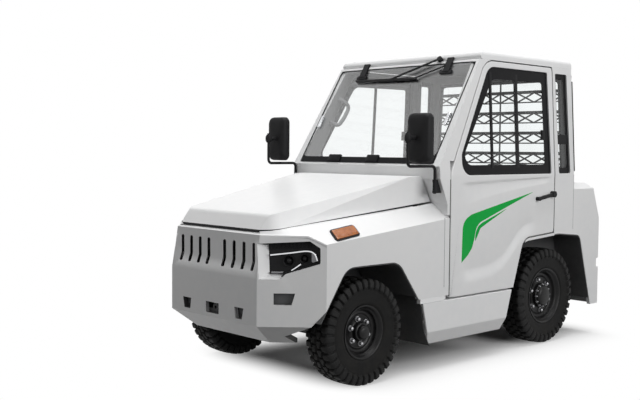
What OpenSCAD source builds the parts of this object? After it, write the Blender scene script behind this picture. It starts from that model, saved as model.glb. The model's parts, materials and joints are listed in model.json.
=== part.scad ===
// Electric tow tractor with a closed cab. X points forward, Y to the left, Z up, in millimetres.

/* [Overall] */
// Distance between the axles
wheelbase = 2010; // [1700:10:2450]
// Front axle to the fold of the nose
front_overhang = 660; // [600:5:800]
// Rear axle to the rear face of the body
rear_overhang = 690; // [640:5:800]
// Reach of the tow hitch behind the body
hitch_reach = 125; // [100:5:160]
// Width over the side panels
body_w = 1472; // [1400:4:1768]
// Height of the roof
roof_h = 2195; // [2000:5:2640]

/* [Wheels] */
// Outer radius of a front tyre
front_tyre_r = 340; // [300:5:360]
// Width of a front tyre
front_tyre_w = 190; // [150:5:210]
// Radius of a front rim at its flange
front_rim_r = 170; // [140:1:185]
// Outer radius of a rear tyre
rear_tyre_r = 367; // [330:1:390]
// Width of a rear tyre
rear_tyre_w = 195; // [150:5:215]
// Radius of a rear rim at its flange
rear_rim_r = 210; // [180:1:230]
// Radius of a wheel spindle
spindle_r = 28; // [22:1:34]

/* [Panels] */
// Thickness of a door and of the cab's side walls
door_t = 45; // [36:1:60]
// Thickness of the fenders, fascia and rear body
panel_t = 28; // [20:1:36]
// Thickness of the glass
glass_t = 6; // [4:1:8]
// Gap round a door
door_gap = 8; // [6:1:12]
// Lean of the cab's sides above the belt line, in degrees
side_lean = 3.2; // [0:0.1:5]
// Rake of the windscreen from upright, in degrees
screen_rake = 32; // [24:1:36]

/* [Tow gear] */
// Radius of the hole for a tow pin
tow_pin_r = 16; // [12:0.5:20]
// Radius of the threaded socket for a front towing eye
tow_eye_r = 11; // [8:0.5:14]

/* [Hidden] */
$fn = 48;

// Main stations, measured along X from the middle of the overall length
overall_l = front_overhang + wheelbase + rear_overhang + hitch_reach;
rear_axle_x = -overall_l / 2 + hitch_reach + rear_overhang;
front_axle_x = rear_axle_x + wheelbase;
nose_x = front_axle_x + front_overhang;
tail_x = rear_axle_x - rear_overhang;
half_w = body_w / 2;
far = 3 * overall_l;

// Heights
rail_top = 470;
rail_h = 120;
floor_t = 22;
floor_top = rail_top + floor_t;
rear_rail_top = 560;
sill_top = rail_top;
sill_fold_z = 272;
sill_low = 180;
door_low = sill_top + 10;
fender_low = 500;
belt_z = 1310;
deck_z = 1230;
cowl_low = 1290;
roof_t = 70;
roof_low = roof_h - roof_t;

// Cab stations
door_front_x = front_axle_x - 789;
door_rear_x = rear_axle_x - 30;
firewall_t = 30;
firewall_x = door_front_x + 5;
cowl_x = firewall_x + 109;
cab_rear_x = rear_axle_x - 300;
rear_wall_t = 38;
screen_low_z = 1373;
screen_low_x = cowl_x + 4;
screen_slope = tan(screen_rake);

// Nose and hood
facet_y = half_w - 293;
facet_end_x = nose_x - 296;
fascia_back_x = nose_x - 326;
fascia_top = 966;
bevel_l = 40;
bevel_h = 18;
corner_l = 190;
corner_h = 42;
fold_low_z = 420;
fold_high_z = 700;
chin_low = 295;
chin_back = 157;
grille_lean = 20;
crease_x = front_axle_x - 711;
crease_z = 1017;
crease_tilt = 5.4;
shoulder_in = 131;
shoulder_rise = 100;
hood_half = half_w - shoulder_in - 10;

// Hinges
hinge_r = 16;
hinge_pin_r = 5;
hinge_fit = 0.1;
hinge_h = 60;
hinge_slack = 5;
door_hinge_zs = [600, 940];
hood_hinge_x = cowl_x + 32;
hood_hinge_z = 1281;
hood_eye_r = 7;
hood_eye_w = 40;
hood_pin_r = 4;
hood_hinge_ys = [-380, 380];

// Running gear
kingpin_y = 530;
kingpin_r = 14;
kingpin_fit = 0.1;
front_wheel_y = half_w - 124;
rear_wheel_y = half_w - 136;
steer_arm_back = 95;
rail_y = 230;
rail_w = 80;

function unit(v) = v / norm(v);

// Closed outline with each corner rounded by its own radius
function fillet(pts, radii, steps = 6) = [for (i = [0 : len(pts) - 1])
    let (n = len(pts), b = pts[i], r = radii[i],
         u = unit(pts[(i + n - 1) % n] - b), v = unit(pts[(i + 1) % n] - b), half = acos(u * v) / 2)
    each r == 0 ? [b] :
        let (centre = b + unit(u + v) * r / sin(half),
             p = b + u * r / tan(half) - centre, q = b + v * r / tan(half) - centre)
        [for (k = [0 : steps]) centre + unit(p * (steps - k) + q * k) * r]];

function side_y(z) = half_w - max(0, z - belt_z) * tan(side_lean);
function screen_x(z) = screen_low_x - (z - screen_low_z) * screen_slope;

// Extrusions of a side view (x, z), a cross-section (y, z) and a plan (x, y)
module side_prism(y0, y1) translate([0, y1, 0]) rotate([90, 0, 0]) linear_extrude(y1 - y0) children();
module section_prism(x0, x1) translate([x0, 0, 0]) rotate([90, 0, 90]) linear_extrude(x1 - x0) children();
module plan_prism(z0, z1) translate([0, 0, z0]) linear_extrude(z1 - z0) children();
module box(low, high) translate(low) cube(high - low);
module both_sides() {
    children();
    mirror([0, 1, 0]) children();
}
module on_side(side) {
    if (side > 0) children();
    else mirror([0, 1, 0]) children();
}
// A flat strip between two points of a view
module strip(a, b, w) {
    side = [a[1] - b[1], b[0] - a[0]] / norm(b - a) * w / 2;
    polygon([a + side, b + side, b - side, a - side]);
}
// Everything behind a plane that is given by a point on it and its outward normal
module behind(at, n, inset) translate(at - unit(n) * inset)
    rotate([0, acos(n[2] / norm(n)), atan2(n[1], n[0])]) translate([-far, -far, -far]) cube([2 * far,
        2 * far, far]);
// A round bar along Y, centred on a point
module y_bar(at, r, y0, y1) translate([at[0], y0, at[1]]) rotate([-90, 0, 0]) cylinder(r = r, h = y1 - y0);

// Outlines seen from the side
front_arch_top = 2 * front_tyre_r + 77;
rear_arch_top = 2 * rear_tyre_r + 96;
module front_arch() polygon(fillet(
    [[front_axle_x + 520, 270], [front_axle_x + 190, front_arch_top],
     [front_axle_x - 272, front_arch_top], [front_axle_x - 545, 390], [front_axle_x - 545, 120],
     [front_axle_x + 520, 120]], [0, 120, 120, 0, 0, 0]));
module rear_arch() polygon(fillet(
    [[rear_axle_x + 520, 380], [rear_axle_x + 372, rear_arch_top - 20], [rear_axle_x - 100,
        rear_arch_top + 8],
     [rear_axle_x - 400, rear_arch_top - 20], [rear_axle_x - 580, 220], [rear_axle_x - 580, 120],
     [rear_axle_x + 520, 120]], [0, 110, 300, 60, 0, 0, 0]));

// The door leaves a lip of the body along the top of the rear arch
lip = [-10, 28];
lip_end_x = rear_axle_x + 340;
module door_arch() {
    rear_arch();
    translate(lip) rear_arch();
}

// Edge of the door beside the windscreen pillar
pillar_slope = 0.532;
door_top = roof_low - 8;
door_corner_z = 1330;
door_pillar_x = door_front_x - (door_top - door_corner_z) * pillar_slope;
module door_outline() polygon(fillet(
    [[door_front_x, door_low], [door_front_x, door_corner_z], [door_pillar_x, door_top],
     [door_rear_x, door_top], [door_rear_x, door_low]], [0, 60, 150, 25, 0]));
window_low = belt_z;
window_top = roof_low - 48;
window_front_x = door_front_x - 122;
window_bend = 145;
module door_window() polygon(fillet(
    [[window_front_x, window_low], [window_front_x, window_low + window_bend],
     [window_front_x - (window_top - window_low - window_bend) * pillar_slope, window_top],
     [door_rear_x + 64, window_top], [door_rear_x + 40, window_low]], [95, 40, 110, 12, 12]));
module quarter_window() polygon(fillet(
    [[door_rear_x - 60, window_low], [door_rear_x - 40, window_top],
     [cab_rear_x + 70, window_top], [cab_rear_x + 50, window_low]], [14, 14, 14, 14]));

// Cross-section of a side wall of a given thickness: upright to the belt line, then leaning in
module side_section(t, low, high) polygon([[half_w, low], [half_w, belt_z], [side_y(high), high],
    [side_y(high) - t, high], [half_w - t, belt_z], [half_w - t, low]]);
// Cross-section of the glass, in the middle of the leaning part of a wall
module glass_section(inset) polygon([for (k = [[0, window_low - 5], [0, window_top + 5],
    [glass_t, window_top + 5], [glass_t, window_low - 5]]) [side_y(k[1]) - inset - k[0], k[1]]]);

// Frame: two rails with a kick-up over the rear axle, joined by cross-members
kick_x = rear_axle_x + 480;
module chassis_frame() color("dimgray") difference() {
    union() {
        both_sides() {
            box([kick_x - 60, rail_y, rail_top - rail_h], [nose_x - 230, rail_y + rail_w, rail_top]);
            box([tail_x + 2 * panel_t + 34, rail_y, rear_rail_top - rail_h], [kick_x, rail_y + rail_w,
                rear_rail_top]);
            box([tail_x + panel_t, rail_y, rear_rail_top - rail_h], [tail_x + 200, rail_y + rail_w,
                hitch_plate_top]);
        }
        for (x = [kick_x + 100, front_axle_x - 520, front_axle_x + 200])
            box([x, -rail_y, rail_top - 80], [x + 60, rail_y, rail_top]);
        box([rear_axle_x + 200, -rail_y, rear_rail_top - 80], [rear_axle_x + 260, rail_y, rear_rail_top]);
        // Front beam behind the fascia, and rear plate that carries the hitch
        box([nose_x - 230, -facet_y + 60, fold_low_z + 20], [nose_x - panel_t, facet_y - 60, rail_top]);
        box([tail_x + panel_t, -rail_y - rail_w, 300], [tail_x + panel_t + 20, rail_y + rail_w,
            hitch_plate_top]);
        // Outriggers to the sills
        for (x = [kick_x + 160, front_axle_x - 640])
            both_sides() box([x, rail_y + rail_w, rail_top - 60], [x + 50, sill_in, rail_top]);
        // Boss of the front towing eye, in the middle pocket of the fascia
        translate([nose_x - panel_t - 42, 0, tow_eye_z]) rotate([0, 90, 0]) cylinder(r = 26, h = 42);
    }
    translate([nose_x - panel_t - 42, 0, tow_eye_z]) rotate([0, 90, 0]) cylinder(r = tow_eye_r, h = 60);
}
tow_eye_z = 480;
hitch_plate_top = 505;

// Front axle: beam under the rails, spring pads and a boss for each kingpin
kingpin_boss_h = 110;
kingpin_mid_z = front_tyre_r - 30;
module front_axle() color("dimgray") difference() {
    union() {
        box([front_axle_x - 42, -kingpin_y, kingpin_mid_z - 45], [front_axle_x + 42, kingpin_y,
            kingpin_mid_z + 35]);
        both_sides() {
            translate([front_axle_x, kingpin_y, kingpin_mid_z - kingpin_boss_h / 2])
                cylinder(r = 40, h = kingpin_boss_h);
            box([front_axle_x - 60, rail_y + 5, kingpin_mid_z], [front_axle_x + 60, rail_y + rail_w - 5,
                rail_top - rail_h]);
        }
    }
    both_sides() translate([front_axle_x, kingpin_y, 0]) cylinder(r = kingpin_r + kingpin_fit, h = 900);
}

// Knuckle: a lug above and below the axle's boss on the kingpin, the wheel spindle and a steering arm
lug_h = 28;
lug_slack = 2;
spindle_end = front_wheel_y + 52;
knuckle_wall = 18;
arm_low = kingpin_mid_z - 10;
arm_h = 22;
arm_r = 22;
rod_pin_r = 8;
module knuckle(side) color("gray") on_side(side) {
    low = kingpin_mid_z - kingpin_boss_h / 2 - lug_slack;
    high = kingpin_mid_z + kingpin_boss_h / 2 + lug_slack;
    wall_y = kingpin_y + 46;
    arm_x = front_axle_x - steer_arm_back;
    difference() {
        union() {
            for (z = [low - lug_h, high]) {
                translate([front_axle_x, kingpin_y, z]) cylinder(r = 34, h = lug_h);
                box([front_axle_x - 34, kingpin_y, z], [front_axle_x + 34, wall_y, z + lug_h]);
            }
            box([front_axle_x - 40, wall_y, low - lug_h], [front_axle_x + 40, wall_y + knuckle_wall,
                high + lug_h]);
            translate([front_axle_x, kingpin_y, low - lug_h]) cylinder(r = kingpin_r,
                h = high - low + 2 * lug_h);
            y_bar([front_axle_x, front_tyre_r], spindle_r, wall_y + 9, spindle_end);
            // Steering arm: straight back from the wall, then inwards to an eye behind the kingpin
            box([arm_x - arm_r + 5, wall_y, arm_low - 5], [front_axle_x - 30, wall_y + knuckle_wall,
                arm_low + arm_h + 3]);
            box([arm_x - arm_r + 5, kingpin_y, arm_low], [arm_x + arm_r - 5, wall_y + 9, arm_low + arm_h]);
            translate([arm_x, kingpin_y, arm_low]) cylinder(r = arm_r, h = arm_h);
        }
        translate([arm_x, kingpin_y, arm_low - 1]) cylinder(r = rod_pin_r + kingpin_fit, h = arm_h + 2);
    }
}

// Tie rod behind the axle, with a pin up into each steering arm
rod_r = 12;
rod_drop = 20;
module tie_rod() color("gray") {
    rod_z = arm_low - rod_drop;
    y_bar([front_axle_x - steer_arm_back, rod_z], rod_r, -kingpin_y, kingpin_y);
    both_sides() translate([front_axle_x - steer_arm_back, kingpin_y, rod_z]) {
        translate([0, 0, -16]) cylinder(r = 18, h = 31);
        cylinder(r = rod_pin_r, h = rod_drop + arm_h);
    }
}

// Rear axle: tube, final-drive casing with the traction motor, brake drums and a spindle for each wheel
rear_tube_r = 52;
rear_hub_y = rear_wheel_y - rear_tyre_w / 2 + 20;
module rear_axle() color("dimgray") {
    y_bar([rear_axle_x, rear_tyre_r], rear_tube_r, -rear_hub_y, rear_hub_y);
    translate([rear_axle_x, 0, rear_tyre_r]) sphere(r = 135);
    // Traction motor ahead of the casing
    translate([rear_axle_x, 0, rear_tyre_r]) rotate([0, 90, 0]) cylinder(r = 105, h = 400);
    both_sides() {
        y_bar([rear_axle_x, rear_tyre_r], 120, rear_hub_y - 60, rear_hub_y);
        y_bar([rear_axle_x, rear_tyre_r], spindle_r, rear_hub_y - 5, rear_wheel_y + 52);
        box([rear_axle_x - 50, rail_y + 5, rear_tyre_r], [rear_axle_x + 50, rail_y + rail_w - 5,
            rear_rail_top - rail_h]);
    }
}

// Battery under the hood, one block
module battery_pack() color("darkslategray")
    box([firewall_x + firewall_t + 90, -rail_y - rail_w + 20, rail_top],
        [front_axle_x + 380, rail_y + rail_w - 20, 930]);

// Tyre and rim about a wheel's own axis, outer side towards +Z of the profile
tyre_fit = 0.3;
hub_in = 12;
module tyre(r, w, rim_r) color("#1c1c1c") rotate([-90, 0, 0]) rotate_extrude($fn = 96) polygon(fillet(
    [[rim_r - 12 + tyre_fit, -w * 0.40], [rim_r + 30, -w / 2], [r - 55, -w / 2], [r, -w * 0.40],
     [r, w * 0.40], [r - 55, w / 2], [rim_r + 30, w / 2], [rim_r - 12 + tyre_fit, w * 0.40]],
    [0, 30, 30, 18, 18, 30, 30, 0], 4));
module rim(r, w, dish, cap_r, bore_r) color("#232323") rotate([-90, 0, 0]) difference() {
    rotate_extrude($fn = 96) polygon([
        [bore_r, -hub_in], [cap_r + 14, -hub_in], [cap_r + 14, dish - 12], [r - 45, dish - 22], [r - 26,
            -w * 0.40],
        [r - 12, -w * 0.40], [r - 12, w * 0.40], [r - 8, w * 0.44], [r - 14, w * 0.44], [r - 24, w * 0.36],
        [r - 32, dish - 8], [cap_r + 12, dish + 2], [cap_r + 12, dish + 34], [cap_r, dish + 44],
        [cap_r - 10, dish + 62], [0, dish + 68], [0, 54], [bore_r, 54]]);
}
wheel_bore_fit = 0.1;
module front_tyre() tyre(front_tyre_r, front_tyre_w, front_rim_r);
module front_rim() rim(front_rim_r, front_tyre_w, 34, 46, spindle_r + wheel_bore_fit);
module rear_tyre() tyre(rear_tyre_r, rear_tyre_w, rear_rim_r);
module rear_rim() rim(rear_rim_r, rear_tyre_w, 30, 78, spindle_r + wheel_bore_fit);
module front_wheel_at(side) on_side(side) translate([front_axle_x, front_wheel_y, front_tyre_r]) children();
module rear_wheel_at(side) on_side(side) translate([rear_axle_x, rear_wheel_y, rear_tyre_r]) children();

// Nose: the outer form is the plan, the side profile and the same chin profile turned to each corner
facet_angle = atan2(half_w - facet_y, facet_end_x - nose_x);
module nose_form(inset) intersection() {
    plan_prism(0, far) offset(delta = -inset) polygon([[nose_x, facet_y], [facet_end_x, half_w],
        [fascia_back_x - 60, half_w], [fascia_back_x - 60, -half_w], [facet_end_x, -half_w], [nose_x,
            -facet_y]]);
    side_prism(-half_w, half_w) offset(delta = -inset) chin_profile();
    corner_prism(1, inset);
    corner_prism(-1, inset);
    shoulder_form(inset);
}
// Profile of the nose: lower fold, upper fold, the leaning grille and a bevel up to the hood
module chin_profile() polygon([[nose_x - chin_back, chin_low], [nose_x, fold_low_z], [nose_x, fold_high_z],
    [nose_x - grille_lean, fascia_top], [nose_x - grille_lean - bevel_l, fascia_top + bevel_h],
    [nose_x - grille_lean - bevel_l, far], [nose_x - 900, far], [nose_x - 900, chin_low]]);
module corner_prism(side, inset) on_side(side) translate([nose_x, facet_y, 0]) rotate([0, 0,
    facet_angle - 90])
    side_prism(-far, far) offset(delta = -inset) polygon([[-chin_back, chin_low], [0, fold_low_z],
        [0, fascia_top], [-corner_l, fascia_top + corner_h], [-corner_l, far], [-far, far], [-far,
            chin_low]]);
// Shoulder of the nose and fenders: the side crease, then a slope up to the hood
module shoulder_form(inset) translate([crease_x, 0, crease_z]) rotate([0, crease_tilt, 0])
    section_prism(-far, far) offset(delta = -inset) polygon([[half_w, -crease_z], [half_w, 0],
        [half_w - shoulder_in, shoulder_rise], [-half_w + shoulder_in, shoulder_rise], [-half_w, 0],
        [-half_w, -crease_z]]);

// Outline of a headlight on a corner facet: distance from the fold and height
lamp_outline = fillet([[14, 915], [10, 703], [137, 703], [171, 735], [379, 799], [379, 893], [319, 934]],
    [4, 4, 8, 8, 10, 10, 12], 3);
module on_facet() translate([nose_x, facet_y, 0]) rotate([0, 0, facet_angle]) children();
module facet_prism(out0, out1) on_facet() translate([0, -out0, 0]) rotate([90, 0, 0])
    linear_extrude(out1 - out0) children();
slot_ys = [-368, -272, -176, -82, 82, 178, 275, 372];
slot_w = 22;
slot_low = 756;
slot_high = 905;
pocket_low = 445;
pocket_high = 514;
module front_fascia() color("whitesmoke") difference() {
    nose_form(0);
    nose_form(panel_t);
    // Open back, and open top below the hood
    box([-far, -half_w + panel_t, -1], [fascia_back_x + 40, half_w - panel_t, far]);
    box([-far, -far, -1], [fascia_back_x, far, far]);
    both_sides() {
        side_prism(kingpin_y - 40, half_w + 1) panel_cut() front_arch();
        facet_prism(-panel_t - 40, 20) polygon(lamp_outline);
        facet_prism(-panel_t - 40, 20) polygon([[99, 622], [229, 622], [207, 550], [99, 550]]);
    }
    // Grille slots, the outer pockets and the towing-eye pocket between them
    for (y = slot_ys) {
        box([nose_x - 90, y - slot_w / 2, slot_low], [nose_x + 20, y + slot_w / 2, slot_high]);
        for (z = [slot_low, slot_high]) translate([nose_x - 90, y, z]) rotate([0, 90, 0])
            cylinder(r = slot_w / 2, h = 110);
    }
    both_sides() section_prism(nose_x - 60, nose_x + 20)
        polygon([[226, pocket_high], [316, pocket_high], [300, pocket_low], [236, pocket_low]]);
    box([nose_x - panel_t - 40, -68, pocket_low], [nose_x + 20, 68, pocket_high]);
}

// Headlights: a body behind each opening, lens at its front
module headlights() color("#303438") both_sides() difference() {
    intersection() {
        facet_prism(-panel_t - 60, -panel_t) offset(delta = 7) polygon(lamp_outline);
        nose_form(panel_t);
    }
    facet_prism(-panel_t - 30, 0) offset(delta = -8) polygon(lamp_outline);
}

// Amber markers on the fender shoulders
marker_h = 14;
module marker_lamps() color("darkorange") both_sides() shoulder_frame() linear_extrude(marker_h)
    polygon([[791, 27], [984, 17], [971, 95], [780, 102]]);
// Frame on the shoulder slope: X runs along the crease, Y up the slope, Z out of it
shoulder_angle = atan2(shoulder_rise, shoulder_in);
module shoulder_frame() translate([crease_x, 0, crease_z]) rotate([0, crease_tilt, 0])
    translate([0, half_w, 0]) rotate([180 - shoulder_angle, 0, 0]) mirror([0, 0, 1]) children();

// Fender: the side wall and its shoulder, which runs in under the edge of the hood
fender_lap = 14;
hood_room = 10;
hood_dip = 80;
fender_join = 2;
module fender(side) color("whitesmoke") on_side(side) {
    difference() {
        intersection() {
            difference() {
                shoulder_form(0);
                shoulder_form(panel_t);
                plan_prism(-1, far) hood_plan(fender_lap);
                // Beside the hinge the skirt of the hood swings down past the edge
                box([-far, -far, -1], [hood_hinge_x + hood_dip, hood_half + hood_room, far]);
            }
            box([firewall_x, 0, fender_low], [fascia_back_x, far, far]);
        }
        // The shoulder stops at the firewall, and the side wall runs on to the door
        box([-far, 0, -1], [firewall_x + firewall_t, half_w - panel_t + fender_join, far]);
        // Room under the lower edge of the cowl
        box([firewall_x, 0, cowl_low - 176], [firewall_x + firewall_t + 8,
            half_w - panel_t + fender_join, far]);
        side_prism(kingpin_y - 40, half_w + 1) panel_cut() front_arch();
    }
    // Door hinge eyes on the rear edge
    for (z = door_hinge_zs) difference() {
        translate([0, 0, z - hinge_h / 2]) union() {
            translate([door_hinge_x, door_hinge_y, 0]) cylinder(r = hinge_eye_r, h = hinge_h);
            box([door_hinge_x, door_hinge_y - 6, 0], [firewall_x, door_hinge_y + 6, hinge_h]);
        }
        translate([door_hinge_x, door_hinge_y, 0]) cylinder(r = hinge_pin_r + hinge_fit, h = far);
    }
}
hinge_eye_r = 10;
door_hinge_x = door_front_x - hinge_r;
door_hinge_y = half_w - hinge_r - 0.5;

// Liners of the wheel arches: a dark skin over each wheel, out to the edge of the panels
liner_t = 8;
liner_edge = 3;
liner_low = fender_low + 20;
front_liner_low = 445;
rear_liner_low = 300;
module panel_cut() offset(delta = liner_t) children();
module liner(y0, y1) side_prism(y0, y1) difference() {
    panel_cut() children(0);
    children(0);
    children(1);
}
module below(x, front_z, rear_z) {
    translate([x, -far]) square([far, far + front_z]);
    translate([x - far, -far]) square([far, far + rear_z]);
}
module wheel_liners() color("#2b2d2f") both_sides() {
    liner(rail_y + rail_w, half_w - liner_edge) {
        front_arch();
        below(front_axle_x, front_liner_low, liner_low);
    }
    liner(housing_in, half_w - door_t - 6) {
        rear_arch();
        below(rear_axle_x, liner_low, rear_liner_low);
    }
    // Rim of the rear arch, behind the door
    liner(half_w - door_t - 7, half_w - liner_edge) {
        rear_arch();
        below(door_rear_x - door_gap - 4, far, rear_liner_low);
    }
    side_prism(housing_in, housing_in + liner_t) difference() {
        rear_arch();
        below(rear_axle_x, liner_low, liner_low);
    }
}

// Sill boxes under the doors
sill_front_x = front_axle_x - 511;
sill_rear_x = rear_axle_x + 505;
sill_out = 10;
sill_in = half_w - 190;
module side_sills() color("whitesmoke") both_sides() intersection() {
    side_prism(0, half_w + sill_out) polygon([[sill_front_x, sill_top], [sill_front_x - 40, sill_fold_z],
        [sill_front_x - 93, sill_low], [sill_rear_x + 84, sill_low], [sill_rear_x + 72, sill_fold_z],
        [sill_rear_x, sill_top]]);
    section_prism(sill_rear_x, sill_front_x) difference() {
        polygon([[half_w + 4, sill_top], [half_w + sill_out, sill_fold_z], [half_w - 40, sill_low],
            [sill_in, sill_low], [sill_in, sill_top]]);
        polygon([[half_w - 16, sill_top - 20], [half_w - 10, sill_fold_z], [half_w - 50, sill_low + 20],
            [sill_in - 1, sill_low + 20], [sill_in - 1, sill_top - 20]]);
    }
}

// Front of the cab: firewall, cowl, windscreen pillars and header
pillar_in = 66;
pillar_foot = crease_z + 26;
header_half = side_y(roof_low) - pillar_in + 12;
swing_r = 26;
swing_h = 95;
screen_half = side_y(screen_low_z) - 64;
module cab_front() color("whitesmoke") difference() {
    union() {
        box([firewall_x, -half_w + panel_t, rail_top], [firewall_x + firewall_t, half_w - panel_t,
            cowl_low]);
        // Cowl, leaning forward under the windscreen
        side_prism(-half_w + panel_t + 4, half_w - panel_t - 4) polygon([[firewall_x, cowl_low - 170],
            [firewall_x + firewall_t, cowl_low - 170], [cowl_x, cowl_low], [cowl_x, screen_low_z - 30],
            [screen_low_x, screen_low_z], [screen_x(screen_low_z + 22), screen_low_z + 22],
            [firewall_x, screen_low_z - 10]]);
        both_sides() intersection() {
            section_prism(-far, far) side_section(pillar_in, pillar_foot, roof_low);
            side_prism(0, half_w) difference() {
                polygon([[firewall_x, pillar_foot], [firewall_x + firewall_t, pillar_foot],
                    [firewall_x + firewall_t, cowl_low - 170], [cowl_x, cowl_low], [cowl_x,
                        screen_low_z - 30],
                    [screen_low_x, screen_low_z],
                    [screen_x(roof_low), roof_low], [screen_x(roof_low) - 190, roof_low],
                    [firewall_x - 20, cowl_low]]);
                offset(delta = door_gap) door_outline();
            }
        }
        side_prism(-header_half, header_half) polygon([
            [screen_x(roof_low), roof_low], [screen_x(roof_low - 34), roof_low - 34],
            [screen_x(roof_low - 34) - 60, roof_low - 34], [screen_x(roof_low) - 60, roof_low]]);
        // Arms and eyes of the hood hinges
        for (y = hood_hinge_ys) {
            side_prism(y - hood_eye_w / 2, y + hood_eye_w / 2)
                strip([hood_hinge_x, hood_hinge_z], [cowl_x - 60, hood_hinge_z - 85], 12);
            y_bar([hood_hinge_x, hood_hinge_z], hood_eye_r, y - hood_eye_w / 2, y + hood_eye_w / 2);
        }
    }
    windscreen_slab();
    // Room for the edge of a door as it swings
    both_sides() translate([door_hinge_x, door_hinge_y, door_corner_z - 15]) cylinder(r = swing_r,
        h = swing_h);
    for (y = hood_hinge_ys)
        y_bar([hood_hinge_x, hood_hinge_z], hood_pin_r + hinge_fit, y - hood_eye_w, y + hood_eye_w);
}
module windscreen_slab() side_prism(-screen_half, screen_half) polygon([
    [screen_x(screen_low_z + 14), screen_low_z + 14], [screen_x(roof_low - 18), roof_low - 18],
    [screen_x(roof_low - 18) - glass_t / cos(screen_rake), roof_low - 18],
    [screen_x(screen_low_z + 14) - glass_t / cos(screen_rake), screen_low_z + 14]]);
module windscreen() color([0.55, 0.62, 0.64, 0.4]) windscreen_slab();

// Roof: the side view and the cross-section of one shallow cap
roof_front_x = screen_x(roof_low);
module roof() color("whitesmoke") intersection() {
    side_prism(-half_w, half_w) polygon(fillet([[cab_rear_x - 5, roof_low], [roof_front_x, roof_low],
        [roof_front_x - 34, roof_h - 14], [roof_front_x - 240, roof_h], [cab_rear_x + 30, roof_h],
        [cab_rear_x - 5, roof_h - 30]], [0, 20, 40, 0, 0, 20]));
    section_prism(-far, far) polygon(fillet([[side_y(roof_low), roof_low], [side_y(roof_low) - 6, roof_h],
        [-side_y(roof_low) + 6, roof_h], [-side_y(roof_low), roof_low]], [0, 45, 45, 0]));
}

// Quarter panels: the cab's sides behind the doors
module quarter_panels() color("whitesmoke") {
    both_sides() intersection() {
        section_prism(cab_rear_x, door_rear_x) side_section(door_t, rear_rail_top, roof_low);
        side_prism(0, half_w) difference() {
            translate([cab_rear_x, rear_rail_top]) square([door_rear_x - cab_rear_x, far]);
            offset(delta = door_gap) door_outline();
            panel_cut() rear_arch();
            quarter_window();
        }
    }
    // Lip of the body along the top of the arch, under the door
    both_sides() side_prism(half_w - door_t, half_w) difference() {
        translate(lip - [0, door_gap]) rear_arch();
        rear_arch();
        below(lip_end_x, far, rear_arch_top - 60);
        translate([-far, 0]) square([far + door_rear_x - door_gap - 4, far]);
    }
}

// Rear wall of the cab with its window
module rear_window_outline() polygon(fillet([[-side_y(window_low) + 90, window_low],
    [-side_y(window_top) + 84, window_top - 14], [side_y(window_top) - 84, window_top - 14],
    [side_y(window_low) - 90, window_low]], [20, 20, 20, 20]));
module cab_rear_wall() color("whitesmoke") section_prism(cab_rear_x, cab_rear_x + rear_wall_t)
    difference() {
    polygon([[housing_in, rear_rail_top], [housing_in, rear_arch_top + 30],
        [half_w - door_t, rear_arch_top + 30], [half_w - door_t, belt_z],
        [side_y(roof_low) - door_t, roof_low], [-side_y(roof_low) + door_t, roof_low],
        [-half_w + door_t, belt_z], [-half_w + door_t, rear_arch_top + 30],
        [-housing_in, rear_arch_top + 30], [-housing_in, rear_rail_top]]);
    rear_window_outline();
}
module cab_rear_windows() color([0.5, 0.56, 0.58, 0.4]) {
    section_prism(cab_rear_x + 14, cab_rear_x + 14 + glass_t) rear_window_outline();
    both_sides() intersection() {
        section_prism(cab_rear_x, door_rear_x) glass_section(14);
        side_prism(0, half_w) quarter_window();
    }
}

// Guard over the rear window: four trusses of diamonds between two chords, on three uprights
guard_t = 10;
guard_gap = 26;
guard_half = side_y(window_top) - 30;
truss_h = 77;
truss_pitch = 167;
truss_top = window_top - 110;
diamond = 172;
bar = 9;
module guard_bar(a, b) strip(a, b, bar);
module window_guard() color("#202224") {
    section_prism(cab_rear_x - guard_gap - guard_t, cab_rear_x - guard_gap) {
        for (i = [0 : 3]) {
            top = truss_top - i * truss_pitch;
            low = top - truss_h;
            for (z = [top, low]) guard_bar([-guard_half, z], [guard_half, z]);
            count = floor(guard_half / diamond);
            for (k = [-count : count]) {
                guard_bar([k * diamond - diamond / 2, low], [k * diamond, top]);
                guard_bar([k * diamond, top], [k * diamond + diamond / 2, low]);
                guard_bar([k * diamond - diamond / 2, top], [k * diamond, low]);
                guard_bar([k * diamond, low], [k * diamond + diamond / 2, top]);
            }
        }
        for (y = [-guard_half, 0, guard_half])
            guard_bar([y, window_low - 10], [y, window_top]);
    }
    // Feet on the rear wall
    for (y = [-guard_half, 0, guard_half], z = [window_low - 12, window_top - 5])
        translate([cab_rear_x - guard_gap - guard_t, y, z]) rotate([0, 90, 0])
            cylinder(r = 9, h = guard_gap + guard_t);
}

// Rear body: a shell over the rear wheels, with a chamfered deck and a stepped rear face
module rear_body_side(t) offset(delta = -t) polygon([[cab_rear_x + 2 * t, deck_z], [tail_x + 150, deck_z],
    [tail_x + 95, deck_z - 43], [tail_x, 944], [tail_x, 616], [tail_x + 30, 612], [tail_x + 30, 545],
    [tail_x, 541], [tail_x, 244], [rear_axle_x - 500, 244], [rear_axle_x - 500, 200],
        [cab_rear_x + 2 * t, 200]]);
module rear_body_section(t) offset(delta = -t) polygon([[half_w, 0], [half_w, deck_z - 45],
    [half_w - 46, deck_z], [-half_w + 46, deck_z], [-half_w, deck_z - 45], [-half_w, 0]]);
module rear_body_form(t) intersection() {
    side_prism(-half_w, half_w) rear_body_side(t);
    section_prism(-far, far) rear_body_section(t);
}
module rear_body() color("whitesmoke") difference() {
    rear_body_form(0);
    rear_body_form(panel_t);
    box([cab_rear_x, -far, -1], [far, far, far]);
    box([tail_x + panel_t + 1, -half_w + panel_t, -1], [far, half_w - panel_t, 300]);
    both_sides() side_prism(rear_wheel_y - rear_tyre_w / 2 - 40, half_w + 1) panel_cut() rear_arch();
    // Opening for the hitch
    box([tail_x - 1, -110, 230], [tail_x + panel_t, 110, 520]);
}

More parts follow.
